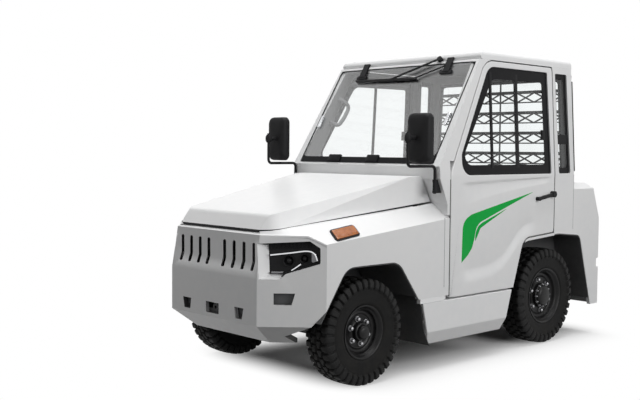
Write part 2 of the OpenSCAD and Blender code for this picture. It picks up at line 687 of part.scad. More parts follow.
// Lamps on the rear face
module tail_lamps() color("firebrick") both_sides()
    translate([tail_x, half_w - 190, 690]) rotate([0, -90, 0]) linear_extrude(24) polygon(fillet(
        [[0, 0], [200, 0], [200, 90], [0, 90]], [18, 18, 18, 18]));

// Tow hitch: a back plate and three shelves drilled for the pin
shelf_t = 22;
shelf_zs = [262, 366, 470];
hitch_pin_x = tail_x - hitch_reach + 58;
module tow_hitch() color("#2a2a2a") difference() {
    union() {
        box([tail_x - 4, -95, 250], [tail_x + panel_t, 95, 505]);
        for (z = shelf_zs) plan_prism(z, z + shelf_t) polygon(fillet([[tail_x, -75], [tail_x, 75],
            [tail_x - hitch_reach, 75], [tail_x - hitch_reach, -75]], [0, 0, 50, 50]));
    }
    translate([hitch_pin_x, 0, 0]) cylinder(r = tow_pin_r, h = 900);
}

// Floor of the cab, narrow between the rear wheels
housing_in = rear_wheel_y - rear_tyre_w / 2 - 24;
module cab_floor() color("#3a3d40") {
    box([kick_x, -half_w + door_t + 6, rail_top], [firewall_x, half_w - door_t - 6, floor_top]);
    box([cab_rear_x + rear_wall_t, -housing_in, rear_rail_top], [kick_x, housing_in,
        rear_rail_top + floor_t]);
    box([kick_x, -housing_in, rail_top], [kick_x + 12, housing_in, rear_rail_top + floor_t]);
}

// Dashboard with the steering column
column_tilt = 32;
column_foot = [firewall_x - 60, 260, 940];
wheel_out = 420;
module dashboard() color("#34373a") {
    side_prism(-half_w + door_t + 30, half_w - door_t - 30) polygon(fillet([[firewall_x, 900],
        [firewall_x, 1280],
        [firewall_x - 60, 1290], [firewall_x - 250, 1250], [firewall_x - 270, 1190], [firewall_x - 90,
            980]],
        [0, 0, 30, 30, 20, 40]));
    translate(column_foot) rotate([0, -column_tilt, 0]) {
        cylinder(r = 38, h = wheel_out - 60);
        cylinder(r = 18, h = wheel_out - 4);
    }
}
module steering_wheel() color("#202224") translate(column_foot) rotate([0, -column_tilt, 0])
    translate([0, 0, wheel_out]) {
        rotate_extrude($fn = 96) translate([190, 0]) circle(r = 14);
        difference() {
            translate([0, 0, -26]) cylinder(r = 44, h = 40);
            translate([0, 0, -30]) cylinder(r = 18 + hinge_fit, h = 30);
        }
        for (a = [0, 120, 240]) rotate([0, 0, a]) translate([30, 0, 0]) rotate([0, 90, 0])
            cylinder(r = 9, h = 152);
        // Spinner knob
        rotate([0, 0, 200]) translate([190, 0, 8]) cylinder(r = 20, h = 46);
    }

// Driver's seat on its plinth
seat_y = 255;
seat_x = rear_axle_x + 230;
seat_w = 430;
seat_top = 930;
seat_back_top = 1400;
seat_pan = seat_top - 120;
soft_gap = 0.3;
module seat_base() color("#2c2f31") {
    box([cab_rear_x + rear_wall_t, -housing_in + 10, rear_rail_top + floor_t], [kick_x - 40,
        housing_in - 10, plinth_top]);
    box([seat_x - 310, seat_y - 190, plinth_top], [seat_x + 210, seat_y + 190, seat_pan]);
}
plinth_top = 760;
module seat_cushion() color("#222426") box([seat_x - 200, seat_y - seat_w / 2, seat_pan + soft_gap],
    [seat_x + 260, seat_y + seat_w / 2, seat_top]);
module seat_back() color("#222426") side_prism(seat_y - seat_w / 2 + 10, seat_y + seat_w / 2 - 10)
    polygon(fillet([[seat_x - 201, seat_pan + soft_gap], [seat_x - 300, seat_pan + soft_gap],
        [seat_x - 390, seat_back_top], [seat_x - 300, seat_back_top]], [0, 0, 30, 40]));

// Mirrors: a bent arm from each cowl side to a tall head above the fender
mirror_y0 = half_w - 36;
mirror_x = front_axle_x - 465;
mirror_z = 1560;
mirror_arm_r = 9;
mirror_arm_x = front_axle_x - 385;
mirror_arm_z = 1375;
function pillar_edge_x(z) = firewall_x + firewall_t + (cowl_x - firewall_x - firewall_t)
    * (z - cowl_low + 170) / 170;
module bar_between(a, b, r) {
    d = b - a;
    translate(a) rotate([0, acos(d[2] / norm(d)), atan2(d[1], d[0])]) cylinder(r = r, h = norm(d));
}
module mirrors() color("#222426") both_sides() {
    base = [cowl_x + mirror_arm_r + 6, mirror_y0, 1200];
    bends = [base, [base[0], mirror_y0, mirror_arm_z], [mirror_arm_x, mirror_y0, mirror_arm_z],
        [mirror_arm_x, mirror_y0, mirror_z + 20]];
    for (i = [0 : 2]) bar_between(bends[i], bends[i + 1], mirror_arm_r);
    for (i = [1 : 2]) translate(bends[i]) sphere(r = mirror_arm_r);
    // Clamp block on the leaning front edge of the pillar
    side_prism(mirror_y0 - 20, mirror_y0 + 16) polygon([[pillar_edge_x(1195), 1195],
        [pillar_edge_x(1285), 1285],
        [base[0] + 16, 1285], [base[0] + 16, 1195]]);
    box([mirror_x, mirror_y0 - 22, mirror_z - 22], [mirror_arm_x + 12, mirror_y0 + 22, mirror_z + 22]);
    side_head();
}
module side_head() translate([mirror_x - 62, mirror_y0 + 10, mirror_z]) rotate([90, 0, 90])
    linear_extrude(66) polygon(fillet([[-95, -165], [95, -165], [95, 165], [-95, 165]], [40, 40, 40, 40]));

// Wiper at the head of the windscreen: motor cover, arm, link and blade, and the two hinges of the screen
screen_len = (roof_low - screen_low_z) / cos(screen_rake);
wiper_pivot = [335, screen_len + 12];
wiper_blade = [[-440, screen_len - 138], [185, screen_len - 150]];
wiper_arm_end = [-62, screen_len - 145];
wiper_link = [[418, screen_len - 46], [150, screen_len - 149]];
hinge_ys = [[-451, -354], [378, 488]];
hinge_foot = 100;
hinge_web = 56;
// Frame on the windscreen: X out of the glass, Y across, Z up the glass
module on_screen() translate([screen_low_x, 0, screen_low_z]) rotate([0, -screen_rake, 0]) children();
module screen_strip(a, b, w, out0, out1) translate([out0, 0, 0]) rotate([90, 0, 90])
    linear_extrude(out1 - out0) strip(a, b, w);
module wiper() color("#1c1e20") on_screen() {
    translate([0, wiper_pivot[0], wiper_pivot[1]]) rotate([0, 90, 0]) cylinder(r = 20, h = 26);
    screen_strip(wiper_pivot, wiper_arm_end, 14, 16, 24);
    screen_strip(wiper_link[0], wiper_link[1], 8, 8, 16);
    screen_strip(wiper_blade[0], wiper_blade[1], 16, 4, 20);
    for (y = hinge_ys) {
        mid = (y[0] + y[1]) / 2;
        screen_strip([y[0], screen_len - hinge_foot], [y[1], screen_len - hinge_foot], 28, 0, 10);
        screen_strip([mid, screen_len - hinge_foot], [mid, screen_len + 22], hinge_web, 0, 14);
    }
}

// Hood: a lid with a sloping top, hinged at its rear edge
hood_gap = 12;
hood_wall = 12;
hood_rear_x = cowl_x + 20;
hood_front_x = nose_x - 56;
hood_side_x = firewall_x + firewall_t + 8;
hood_corner = [[hood_front_x, facet_y - 48], [hood_front_x - 50, facet_y + 44]];
hood_top = 1303;
hood_front_top = 1085;
module hood_plan(inset) offset(delta = -inset) polygon(fillet([hood_corner[0], hood_corner[1],
    [hood_side_x, hood_half],
    [hood_side_x, -hood_half], [hood_corner[1][0], -hood_corner[1][1]], [hood_corner[0][0],
        -hood_corner[0][1]]],
    [50, 90, 0, 0, 90, 50]));
// Points of the left half of the lid: its crown, the edge above its side, and the lower corner in front
hood_crown = [[hood_rear_x + 140, 230, hood_top - 8], [hood_front_x - 206, 190, hood_front_top + 34]];
hood_edge = [[hood_rear_x, hood_half - 12, hood_top - 10], [hood_front_x - 46, facet_y - 78,
    hood_front_top - 9]];
hood_foot = [hood_front_x - 46, facet_y + 44, 1000];
module hood_form(inset) intersection() {
    plan_prism(0, far) hood_plan(inset);
    side_prism(-half_w, half_w) offset(delta = -inset) polygon(fillet([[hood_rear_x, hood_top],
        [hood_rear_x + 110, hood_top - 3], [hood_front_x - 30, hood_front_top], [hood_front_x, 1000],
            [hood_front_x, 900],
        [hood_side_x, 900], [hood_side_x, cowl_low - 170]],
        [0, 60, 30, 0, 0, 0, 0]));
    for (side = [1, -1]) intersection() {
        on_side(side) behind(hood_crown[0], cross(hood_edge[1] - hood_crown[1],
            hood_crown[0] - hood_crown[1]), inset);
        on_side(side) behind(hood_edge[0], cross(hood_edge[1] - hood_edge[0], hood_foot - hood_edge[0]),
            inset);
    }
}
module hood() color("whitesmoke") {
    difference() {
        hood_form(0);
        hood_form(hood_wall);
        // Lower edge along the shoulders
        translate([crease_x, 0, crease_z + shoulder_rise + hood_gap]) rotate([0, crease_tilt, 0])
            translate([-far, -far, -far]) cube([2 * far, 2 * far, far]);
        // Slots that let the hinge arms through the rear wall
        for (y = hood_hinge_ys) box([cowl_x - far / 2, y - hood_slot / 2, hood_hinge_z - 110],
            [hood_hinge_x + 12, y + hood_slot / 2, hood_hinge_z + 9]);
    }
    for (y = hood_hinge_ys) {
        intersection() {
            hood_form(2);
            for (k = [-1, 1]) translate([hood_hinge_x - 8, y + k * (hood_slot + hood_gusset)
                / 2 - hood_gusset / 2,
                hood_hinge_z - 10]) cube([40, hood_gusset, 60]);
        }
        y_bar([hood_hinge_x, hood_hinge_z], hood_pin_r, y - hood_slot / 2 - hood_gusset,
            y + hood_slot / 2 + hood_gusset);
    }
}
hood_slot = hood_eye_w + 2 * hinge_slack;
hood_gusset = 8;

// Door: a thick panel with its window cut, a round nose on the hinge line and two hinge pins
module door(side) color("whitesmoke") on_side(side) {
    difference() {
        union() {
            intersection() {
                section_prism(door_rear_x, door_hinge_x) side_section(door_t, door_low, door_top);
                side_prism(0, half_w) door_outline();
            }
            intersection() {
                translate([door_hinge_x, door_hinge_y, door_low]) cylinder(r = hinge_r,
                    h = belt_z - door_low);
                side_prism(0, half_w) door_outline();
            }
        }
        side_prism(0, half_w + 1) door_window();
        side_prism(0, half_w + 1) door_arch();
        door_dish();
        for (z = door_hinge_zs) translate([door_hinge_x, door_hinge_y, z - hinge_h / 2 - hinge_slack])
            cylinder(r = hinge_r + 8, h = hinge_h + 2 * hinge_slack);
    }
    for (z = door_hinge_zs) translate([door_hinge_x, door_hinge_y, z - hinge_h / 2 - hinge_slack])
        cylinder(r = hinge_pin_r, h = hinge_h + 2 * hinge_slack);
}
// Dish in the outer skin, deepest along the curve above the wheel
dish_depth = 7;
dish_top = 1150;
dish_low = 650;
module door_dish() intersection() {
    side_prism(half_w - door_t, half_w + 10) polygon([[door_front_x - 150, dish_low + 6],
        [door_front_x - 330, dish_low + 14],
        [door_front_x - 480, dish_low + 32], [door_front_x - 605, dish_low + 76], [door_front_x - 705,
            dish_low + 154],
        [door_front_x - 781, dish_low + 226], [door_front_x - 860, dish_low + 277], [door_front_x - 967,
            dish_low + 303],
        [door_front_x - 1100, dish_top + 60], [door_front_x - 300, dish_top], [door_front_x - 150,
            dish_top - 60]]);
    behind([0, half_w, dish_top], [0, -(dish_top - dish_low), -dish_depth], 0);
}
module door_glass(side) color([0.5, 0.56, 0.58, 0.4]) on_side(side) intersection() {
    section_prism(door_rear_x, door_hinge_x) glass_section(14);
    side_prism(0, half_w) door_window();
}
// Handle: a pull between a foot and the lock at the rear edge
handle_foot = [door_rear_x + 235, 1124];
handle_lock = [door_rear_x + 38, 1154];
module door_handle(side) color("#202224") on_side(side) {
    y_bar(handle_foot, 15, half_w, half_w + 30);
    y_bar(handle_lock, 24, half_w, half_w + 34);
    side_prism(half_w + 12, half_w + 30) strip(handle_foot, handle_lock, 24);
}

chassis_frame();
front_axle();
rear_axle();
battery_pack();
front_fascia();
headlights();
marker_lamps();
fender(1);  // left_fender
fender(-1);  // right_fender
wheel_liners();
side_sills();
cab_front();
windscreen();
roof();
quarter_panels();
cab_rear_wall();
cab_rear_windows();
window_guard();
rear_body();
tail_lamps();
tow_hitch();
cab_floor();
dashboard();
seat_base();
seat_cushion();
seat_back();
steering_wheel();
mirrors();
wiper();
hood();
door(1);  // left_door
door_glass(1);  // left_door_glass
door_handle(1);  // left_door_handle
door(-1);  // right_door
door_glass(-1);  // right_door_glass
door_handle(-1);  // right_door_handle
knuckle(1);  // left_knuckle
knuckle(-1);  // right_knuckle
tie_rod();
front_wheel_at(1) front_tyre();  // front_left_tyre
front_wheel_at(1) front_rim();  // front_left_rim
front_wheel_at(-1) front_tyre();  // front_right_tyre
front_wheel_at(-1) front_rim();  // front_right_rim
rear_wheel_at(1) rear_tyre();  // rear_left_tyre
rear_wheel_at(1) rear_rim();  // rear_left_rim
rear_wheel_at(-1) rear_tyre();  // rear_right_tyre
rear_wheel_at(-1) rear_rim();  // rear_right_rim
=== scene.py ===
import json
import math

import bmesh
import bpy
import numpy as np
from mathutils import Matrix, Vector


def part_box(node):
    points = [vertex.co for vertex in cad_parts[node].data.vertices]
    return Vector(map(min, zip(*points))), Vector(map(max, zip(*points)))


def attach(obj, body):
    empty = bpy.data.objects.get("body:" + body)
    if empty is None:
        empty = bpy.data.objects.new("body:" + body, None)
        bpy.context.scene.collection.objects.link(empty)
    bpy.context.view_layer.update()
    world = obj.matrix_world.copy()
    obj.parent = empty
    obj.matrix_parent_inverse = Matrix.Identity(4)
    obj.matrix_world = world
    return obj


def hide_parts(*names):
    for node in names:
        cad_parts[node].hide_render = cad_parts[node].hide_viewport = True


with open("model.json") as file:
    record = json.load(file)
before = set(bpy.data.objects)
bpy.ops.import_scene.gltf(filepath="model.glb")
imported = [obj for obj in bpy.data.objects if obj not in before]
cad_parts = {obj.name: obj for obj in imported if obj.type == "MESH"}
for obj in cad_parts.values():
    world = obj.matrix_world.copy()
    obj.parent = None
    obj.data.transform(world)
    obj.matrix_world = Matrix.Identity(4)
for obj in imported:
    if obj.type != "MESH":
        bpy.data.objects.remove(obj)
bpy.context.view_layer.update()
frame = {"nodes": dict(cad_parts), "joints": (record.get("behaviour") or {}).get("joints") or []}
NODES = frame["nodes"]
JOINT_AT = {joint["name"]: np.array(joint["pos_m"]) for joint in frame["joints"]}

# Places read from the frame, in metres: X forward, Y to the driver's left, Z up


def low(node):
    """The corner of a node's box with its smallest values."""
    return np.array(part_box(node)[0])


def high(node):
    """The corner of a node's box with its largest values."""
    return np.array(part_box(node)[1])


HALF_W = high("left_fender")[1]
NOSE_X = high("front_fascia")[0]
BELT_Z = low("left_door_glass")[2]
ROOF_LOW = low("roof")[2]
ROOF_HALF = high("roof")[1]
SIDE_LEAN = (HALF_W - ROOF_HALF) / (ROOF_LOW - BELT_Z)

# The camera that took the photograph: place, turn in degrees and focal length in pixels of a 640-wide image
CAMERA_AT = Vector((5.2645, 4.745, 1.478))
CAMERA_YAW, CAMERA_PITCH, CAMERA_ROLL = 46.68, 2.97, 0.4455
FOCAL_PX, IMAGE_W = 937.3, 640
SHIFT_PX = (2.8, -1.5)
SENSOR_MM = 36


# Meshes from arrays

def grid_faces(rows, columns, wrap_rows=False, wrap_columns=False):
    """Quads between the points of a grid stored row by row; a wrapped direction closes on itself."""
    r = np.arange(rows if wrap_rows else rows - 1)[:, None]
    c = np.arange(columns if wrap_columns else columns - 1)[None, :]
    r1, c1 = (r + 1) % rows, (c + 1) % columns
    corners = [r * columns + c, r * columns + c1, r1 * columns + c1, r1 * columns + c]
    return np.stack([np.broadcast_to(k, (r.size, c.size)) for k in corners], -1).reshape(-1, 4)


def patch(points, wrap_rows=False, wrap_columns=False, caps=False):
    """(points, faces) of a grid of rows, columns, 3; caps close the first and last row with a face each."""
    rows, columns = points.shape[:2]
    faces = grid_faces(rows, columns, wrap_rows, wrap_columns).tolist()
    if caps:
        faces.append(list(range(columns))[::-1])
        faces.append(list(range((rows - 1) * columns, rows * columns)))
    return points.reshape(-1, 3), faces


def joined(*patches):
    """Several patches as one: each one's face numbers are raised by the points that come before it."""
    starts = np.cumsum([0] + [len(points) for points, _ in patches])
    faces = [[i + start for i in face] for (_, some), start in zip(patches, starts) for face in some]
    return np.concatenate([points for points, _ in patches]), faces


def copies(shape, places):
    """One patch repeated at places, 4x4 matrices that carry the shape's own frame to the object's."""
    points, faces = shape
    places = np.asarray(places, float)
    moved = np.einsum("nij,pj->npi", places[:, :3, :3], points) + places[:, None, :3, 3]
    shifts = np.arange(len(places)) * len(points)
    return moved.reshape(-1, 3), [[i + s for i in face] for s in shifts for face in faces]


def piece(name, shape, body, material, replaces=(), smooth=35, outwards=True):
    """An object of the scene from a patch: shaded smooth below an angle, riding on a body of the frame."""
    points, faces = shape
    mesh = bpy.data.meshes.new(name)
    mesh.from_pydata(np.asarray(points, float).tolist(), [], faces)
    tidy = bmesh.new()
    tidy.from_mesh(mesh)
    bmesh.ops.remove_doubles(tidy, verts=tidy.verts, dist=1e-6)
    if outwards:
        bmesh.ops.recalc_face_normals(tidy, faces=tidy.faces)
    tidy.to_mesh(mesh)
    tidy.free()
    mesh.shade_smooth()
    mesh.set_sharp_from_angle(angle=math.radians(smooth))
    mesh.materials.append(material)
    made = bpy.data.objects.new(name, mesh)
    bpy.context.scene.collection.objects.link(made)
    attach(made, body)
    if replaces:
        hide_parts(*replaces)
    return made


def points_of(mesh):
    """The places of a mesh's points."""
    co = np.empty(len(mesh.vertices) * 3)
    mesh.vertices.foreach_get("co", co)
    return co.reshape(-1, 3)


def softened(node, body, material, radius, segments=2, cuts=(), warp=None):
    """A copy of a frame node with its doubles merged, its flat faces joined and its sharp edges rounded. It
    may first be cut at some heights and have its points moved by a warp."""
    source = NODES[node].data
    corners = np.empty(len(source.loops), int)
    source.loops.foreach_get("vertex_index", corners)
    points, index = np.unique(points_of(source).round(6), axis=0, return_inverse=True)
    faces = index.reshape(-1)[corners].reshape(-1, 3)
    whole = (faces[:, 0] != faces[:, 1]) & (faces[:, 1] != faces[:, 2]) & (faces[:, 2] != faces[:, 0])
    made = piece(node + "_panel", (points, faces[whole].tolist()), body, material, [node],
                 outwards=False)
    flat = bmesh.new()
    flat.from_mesh(made.data)
    for height in cuts:
        bmesh.ops.bisect_plane(flat, geom=flat.verts[:] + flat.edges[:] + flat.faces[:],
                               plane_co=(0, 0, height), plane_no=(0, 0, 1))
    flat.to_mesh(made.data)
    if warp:
        made.data.vertices.foreach_set("co", warp(points_of(made.data)).reshape(-1))
    flat.clear()
    flat.from_mesh(made.data)
    bmesh.ops.dissolve_limit(flat, angle_limit=math.radians(0.4), verts=flat.verts, edges=flat.edges)
    flat.to_mesh(made.data)
    flat.free()
    made.data.shade_smooth()
    bevel = made.modifiers.new("rounded_edges", "BEVEL")
    bevel.width = radius
    bevel.segments = segments
    bevel.limit_method = "ANGLE"
    bevel.angle_limit = math.radians(20)
    bevel.miter_outer = "MITER_ARC"
    even = made.modifiers.new("flat_faces", "WEIGHTED_NORMAL")
    even.weight = 90
    return made


def turned(at, x_axis, z_axis):
    """A 4x4 place with its own X and Z axes."""
    z = np.asarray(z_axis, float) / np.linalg.norm(z_axis)
    x = np.asarray(x_axis, float) - z * np.dot(x_axis, z)
    x = x / np.linalg.norm(x)
    place = np.eye(4)
    place[:3, 0], place[:3, 1], place[:3, 2], place[:3, 3] = x, np.cross(z, x), z, at
    return place


def rounded(corners, radii, steps=8):
    """Closed outline through corners in a plane, each corner replaced by an arc of its own radius."""
    corners = np.asarray(corners, float)
    out = []
    for before, at, after, radius in zip(np.roll(corners, 1, 0), corners, np.roll(corners, -1, 0), radii):
        if radius == 0:
            out.append(at[None])
            continue
        u, v = (before - at) / np.linalg.norm(before - at), (after - at) / np.linalg.norm(after - at)
        half = math.acos(np.clip(u @ v, -1, 1)) / 2
        centre = at + (u + v) / np.linalg.norm(u + v) * radius / math.sin(half)
        start, end = at + u * radius / math.tan(half) - centre, at + v * radius / math.tan(half) - centre
        k = np.linspace(0, 1, steps)[:, None]
        fan = start * (1 - k) + end * k
        out.append(centre + fan / np.linalg.norm(fan, axis=1, keepdims=True) * radius)
    return np.concatenate(out)


def resampled(line, count, closed=False):
    """Count points along a line of points, evenly by length."""
    line = np.asarray(line, float)
    if closed:
        line = np.concatenate([line, line[:1]])
    run = np.concatenate([[0], np.cumsum(np.linalg.norm(np.diff(line, axis=0), axis=1))])
    want = np.linspace(0, run[-1], count, endpoint=not closed)
    return np.stack([np.interp(want, run, line[:, k]) for k in range(line.shape[1])], -1)


def sweep(profile, path, side, closed=False):
    """A closed profile (across, up) carried along a path: up follows side, across stands square to both."""
    path, side = np.asarray(path, float), np.asarray(side, float)
    if closed:
        along = np.roll(path, -1, 0) - np.roll(path, 1, 0)
    else:
        along = np.gradient(path, axis=0)
    along = along / np.linalg.norm(along, axis=1, keepdims=True)
    across = np.cross(side, along)
    across = across / np.linalg.norm(across, axis=1, keepdims=True)
    up = np.cross(along, across)
    profile = np.asarray(profile, float)
    points = path[:, None] + profile[None, :, :1] * across[:, None] + profile[None, :, 1:] * up[:, None]
    return patch(points, wrap_rows=closed, wrap_columns=True, caps=not closed)


def ring(radius, count=12):
    """A circle as a profile."""
    angle = np.linspace(0, 2 * np.pi, count, endpoint=False)
    return np.stack([np.cos(angle), np.sin(angle)], -1) * radius


def block_profile(half, thick, radius, steps=4):
    """A rectangle with rounded corners as a profile, from half its width and half its height."""
    return rounded([[-half, -thick], [half, -thick], [half, thick], [-half, thick]], [radius] * 4, steps)


def lathe(profile, at, axis, count=64):
    """A profile (radius, along) turned once about an axis through a point."""
    profile = np.asarray(profile, float)
    angle = np.linspace(0, 2 * np.pi, count, endpoint=False)
    place = turned(at, (1, 0, 0) if abs(axis[0]) < 0.9 else (0, 1, 0), axis)
    local = np.stack([profile[:, None, 0] * np.cos(angle), profile[:, None, 0] * np.sin(angle),
                      np.repeat(profile[:, None, 1], count, 1)], -1)
    return patch(local @ place[:3, :3].T + place[:3, 3], wrap_columns=True)


def mirrored(shape):
    """A patch's mirror image on the other side of the vehicle."""
    points, faces = shape
    return points * (1, -1, 1), [face[::-1] for face in faces]


def both(shape):
    """A patch and its mirror image."""
    return joined(shape, mirrored(shape))


def ramp(value, start, length):
    """0 up to a start, then rising steadily to 1 over a length."""
    return np.clip((value - start) / length, 0, 1)


def eased(k):
    """0 to 1 with level ends."""
    k = np.clip(k, 0, 1)
    return k * k * (3 - 2 * k)


# Shader groups and materials

def add(tree, kind, inputs=None, **settings):
    """A node with its settings; inputs maps sockets to plain values or to the outputs that feed them."""
    made = tree.nodes.new(kind)
    for key, value in settings.items():
        setattr(made, key, value)
    for key, value in (inputs or {}).items():
        if isinstance(value, bpy.types.NodeSocket):
            tree.links.new(value, made.inputs[key])
        else:
            made.inputs[key].default_value = value
    return made


def new_group(name, inputs, outputs):
    """A shader group with named float or colour sockets: its tree, its input node and its output node."""
    tree = bpy.data.node_groups.new(name, "ShaderNodeTree")
    kinds = {float: "NodeSocketFloat", tuple: "NodeSocketColor"}
    for label, value in inputs.items():
        socket = tree.interface.new_socket(label, in_out="INPUT", socket_type=kinds[type(value)])
        socket.default_value = value
    for label, value in outputs.items():
        tree.interface.new_socket(label, in_out="OUTPUT", socket_type=kinds[type(value)])
    return tree, tree.nodes.new("NodeGroupInput"), tree.nodes.new("NodeGroupOutput")


def mottle_group():
    """Two tones blended by two sizes of cloudy noise, and the blend itself as a value."""
    tree, given, result = new_group("Soft Mottle", {"Tone A": (1, 1, 1, 1), "Tone B": (0, 0, 0, 1),
                                                    "Scale": 3.0}, {"Colour": (1, 1, 1, 1), "Value": 0.0})
    place = add(tree, "ShaderNodeTexCoord").outputs["Object"]
    wide = add(tree, "ShaderNodeTexNoise", {"Vector": place, "Scale": given.outputs["Scale"], "Detail": 4.0})
    finer = add(tree, "ShaderNodeMath", {0: given.outputs["Scale"], 1: 9.0}, operation="MULTIPLY").outputs[0]
    small = add(tree, "ShaderNodeTexNoise", {"Vector": place, "Scale": finer, "Detail": 3.0})
    value = add(tree, "ShaderNodeMath", {0: wide.outputs[0], 1: small.outputs[0]},
                operation="MULTIPLY").outputs[0]
    spread = add(tree, "ShaderNodeMapRange", {"Value": value, "From Min": 0.12, "From Max": 0.42}).outputs[0]
    colour = add(tree, "ShaderNodeMix", {"Factor": spread, "A": given.outputs["Tone A"],
                                         "B": given.outputs["Tone B"]}, data_type="RGBA").outputs["Result"]
    tree.links.new(colour, result.inputs["Colour"])
    tree.links.new(spread, result.inputs["Value"])
    return tree


def grain_group():
    """Fine moulded grain: cell noise over cloudy noise, as a height, and its low places as a value."""
    tree, given, result = new_group("Moulded Grain", {"Scale": 400.0}, {"Height": 0.0, "Value": 0.0})
    place = add(tree, "ShaderNodeTexCoord").outputs["Object"]
    cells = add(tree, "ShaderNodeTexVoronoi", {"Vector": place, "Scale": given.outputs["Scale"]})
    cloud = add(tree, "ShaderNodeTexNoise", {"Vector": place, "Scale": given.outputs["Scale"], "Detail": 2.0})
    height = add(tree, "ShaderNodeMath", {0: cells.outputs["Distance"], 1: cloud.outputs[0]}, operation="ADD")
    tree.links.new(height.outputs[0], result.inputs["Height"])
    tree.links.new(cloud.outputs[0], result.inputs["Value"])
    return tree


def dust_group():
    """Road dust: cloudy noise that fades with height above the floor."""
    tree, given, result = new_group("Road Dust", {"Top": 0.6, "Amount": 0.2}, {"Mask": 0.0})
    place = add(tree, "ShaderNodeTexCoord").outputs["Object"]
    height = add(tree, "ShaderNodeSeparateXYZ", {0: place}).outputs["Z"]
    fade = add(tree, "ShaderNodeMapRange", {"Value": height, "From Min": 0.0,
                                            "From Max": given.outputs["Top"], "To Min": 1.0,
                                            "To Max": 0.0}).outputs[0]
    cloud = add(tree, "ShaderNodeTexNoise", {"Vector": place, "Scale": 14.0, "Detail": 6.0}).outputs[0]
    patchy = add(tree, "ShaderNodeMapRange", {"Value": cloud, "From Min": 0.4, "From Max": 0.75}).outputs[0]
    mask = add(tree, "ShaderNodeMath", {0: fade, 1: patchy}, operation="MULTIPLY").outputs[0]
    scaled = add(tree, "ShaderNodeMath", {0: mask, 1: given.outputs["Amount"]},
                 operation="MULTIPLY").outputs[0]
    tree.links.new(scaled, result.inputs["Mask"])
    return tree


def weave_group():
    """Plain weave: two crossed waves, as a height and as a value between thread and gap."""
    tree, given, result = new_group("Cloth Weave", {"Scale": 500.0}, {"Height": 0.0, "Value": 0.0})
    place = add(tree, "ShaderNodeTexCoord").outputs["Object"]
    waves = [add(tree, "ShaderNodeTexWave", {"Vector": place, "Scale": given.outputs["Scale"],
                                             "Distortion": 0.6}, bands_direction=side).outputs["Fac"]
             for side in ("Y", "DIAGONAL")]
    height = add(tree, "ShaderNodeMath", {0: waves[0], 1: waves[1]}, operation="MULTIPLY").outputs[0]
    tree.links.new(height, result.inputs["Height"])
    tree.links.new(height, result.inputs["Value"])
    return tree


MOTTLE, GRAIN, DUST, WEAVE = mottle_group(), grain_group(), dust_group(), weave_group()
DUST_TONE = (0.22, 0.205, 0.18, 1)


def group(tree, shared, inputs):
    """One of the shared groups placed in a material."""
    made = tree.nodes.new("ShaderNodeGroup")
    made.node_tree = shared
    for key, value in inputs.items():
        made.inputs[key].default_value = value
    return made.outputs


def finish_of(name, tone, other, roughness, spread=0.08, mottle=3.0, grain=0.0, grain_scale=400.0, dust=0.0,
              dust_top=0.6, lighter_shoulder=None, **plain):
    """A procedural finish: mottled tones, roughness that follows the mottle, grain in the bump and dust low
    down; a lighter tone, if given, is mixed in where the mesh's own attribute of the same name is 1, which on
    the tyres makes their shoulders lighter all round. What plain holds, such as Metallic or Coat Weight, is
    set on the shader itself."""
    material = bpy.data.materials.new(name)
    material.use_nodes = True
    tree = material.node_tree
    shader = tree.nodes["Principled BSDF"]
    blend = group(tree, MOTTLE, {"Tone A": (*tone, 1), "Tone B": (*other, 1), "Scale": mottle})
    colour = blend["Colour"]
    rough = add(tree, "ShaderNodeMapRange", {"Value": blend["Value"], "To Min": roughness - spread,
                                             "To Max": roughness + spread}).outputs[0]
    if dust:
        mask = group(tree, DUST, {"Amount": dust, "Top": dust_top})["Mask"]
        colour = add(tree, "ShaderNodeMix", {"Factor": mask, "A": colour, "B": DUST_TONE},
                     data_type="RGBA").outputs["Result"]
        rough = add(tree, "ShaderNodeMath", {0: rough, 1: mask}, operation="ADD", use_clamp=True).outputs[0]
    # A lighter tone mixed in by the mesh's own attribute: on the tyres, a lighter band all round the
    # shoulders
    if lighter_shoulder:
        shoulder_mask = add(tree, "ShaderNodeAttribute", attribute_name="lighter_shoulder").outputs["Fac"]
        colour = add(tree, "ShaderNodeMix", {"Factor": shoulder_mask, "A": colour, "B": (*lighter_shoulder, 1)},
                     data_type="RGBA").outputs["Result"]
    tree.links.new(colour, shader.inputs["Base Color"])
    tree.links.new(rough, shader.inputs["Roughness"])
    if grain:
        height = group(tree, GRAIN, {"Scale": grain_scale})["Height"]
        bump = add(tree, "ShaderNodeBump", {"Height": height, "Strength": grain, "Distance": 0.001})
        tree.links.new(bump.outputs[0], shader.inputs["Normal"])
    for label, value in plain.items():
        shader.inputs[label.replace("_", " ")].default_value = value
    return material


def glass_finish(name, tint, gloss, shine_ahead=0.02):
    """Clear sheet glass: what is behind it, a little darkened, under a sharp reflection that grows at low
    angles from its share straight ahead."""
    material = bpy.data.materials.new(name)
    material.use_nodes = True
    tree = material.node_tree
    tree.nodes.remove(tree.nodes["Principled BSDF"])
    place = add(tree, "ShaderNodeTexCoord").outputs["Object"]
    film = add(tree, "ShaderNodeTexNoise", {"Scale": 7.0, "Detail": 5.0, "Vector": place}).outputs[0]
    rough = add(tree, "ShaderNodeMapRange", {"Value": film, "To Min": 0.0, "To Max": 0.06}).outputs[0]
    through = add(tree, "ShaderNodeBsdfTransparent", {"Color": (*tint, 1)})
    shine = add(tree, "ShaderNodeBsdfGlossy", {"Color": (1, 1, 1, 1), "Roughness": rough})
    facing = add(tree, "ShaderNodeLayerWeight", {"Blend": 0.5}).outputs["Facing"]
    edge = add(tree, "ShaderNodeMath", {0: facing, 1: 5.0}, operation="POWER").outputs[0]
    share = add(tree, "ShaderNodeMapRange", {"Value": edge, "To Min": shine_ahead,
                                             "To Max": gloss}).outputs[0]
    mixed = add(tree, "ShaderNodeMixShader", {0: share, 1: through.outputs[0], 2: shine.outputs[0]})
    tree.links.new(mixed.outputs[0], tree.nodes["Material Output"].inputs["Surface"])
    return material


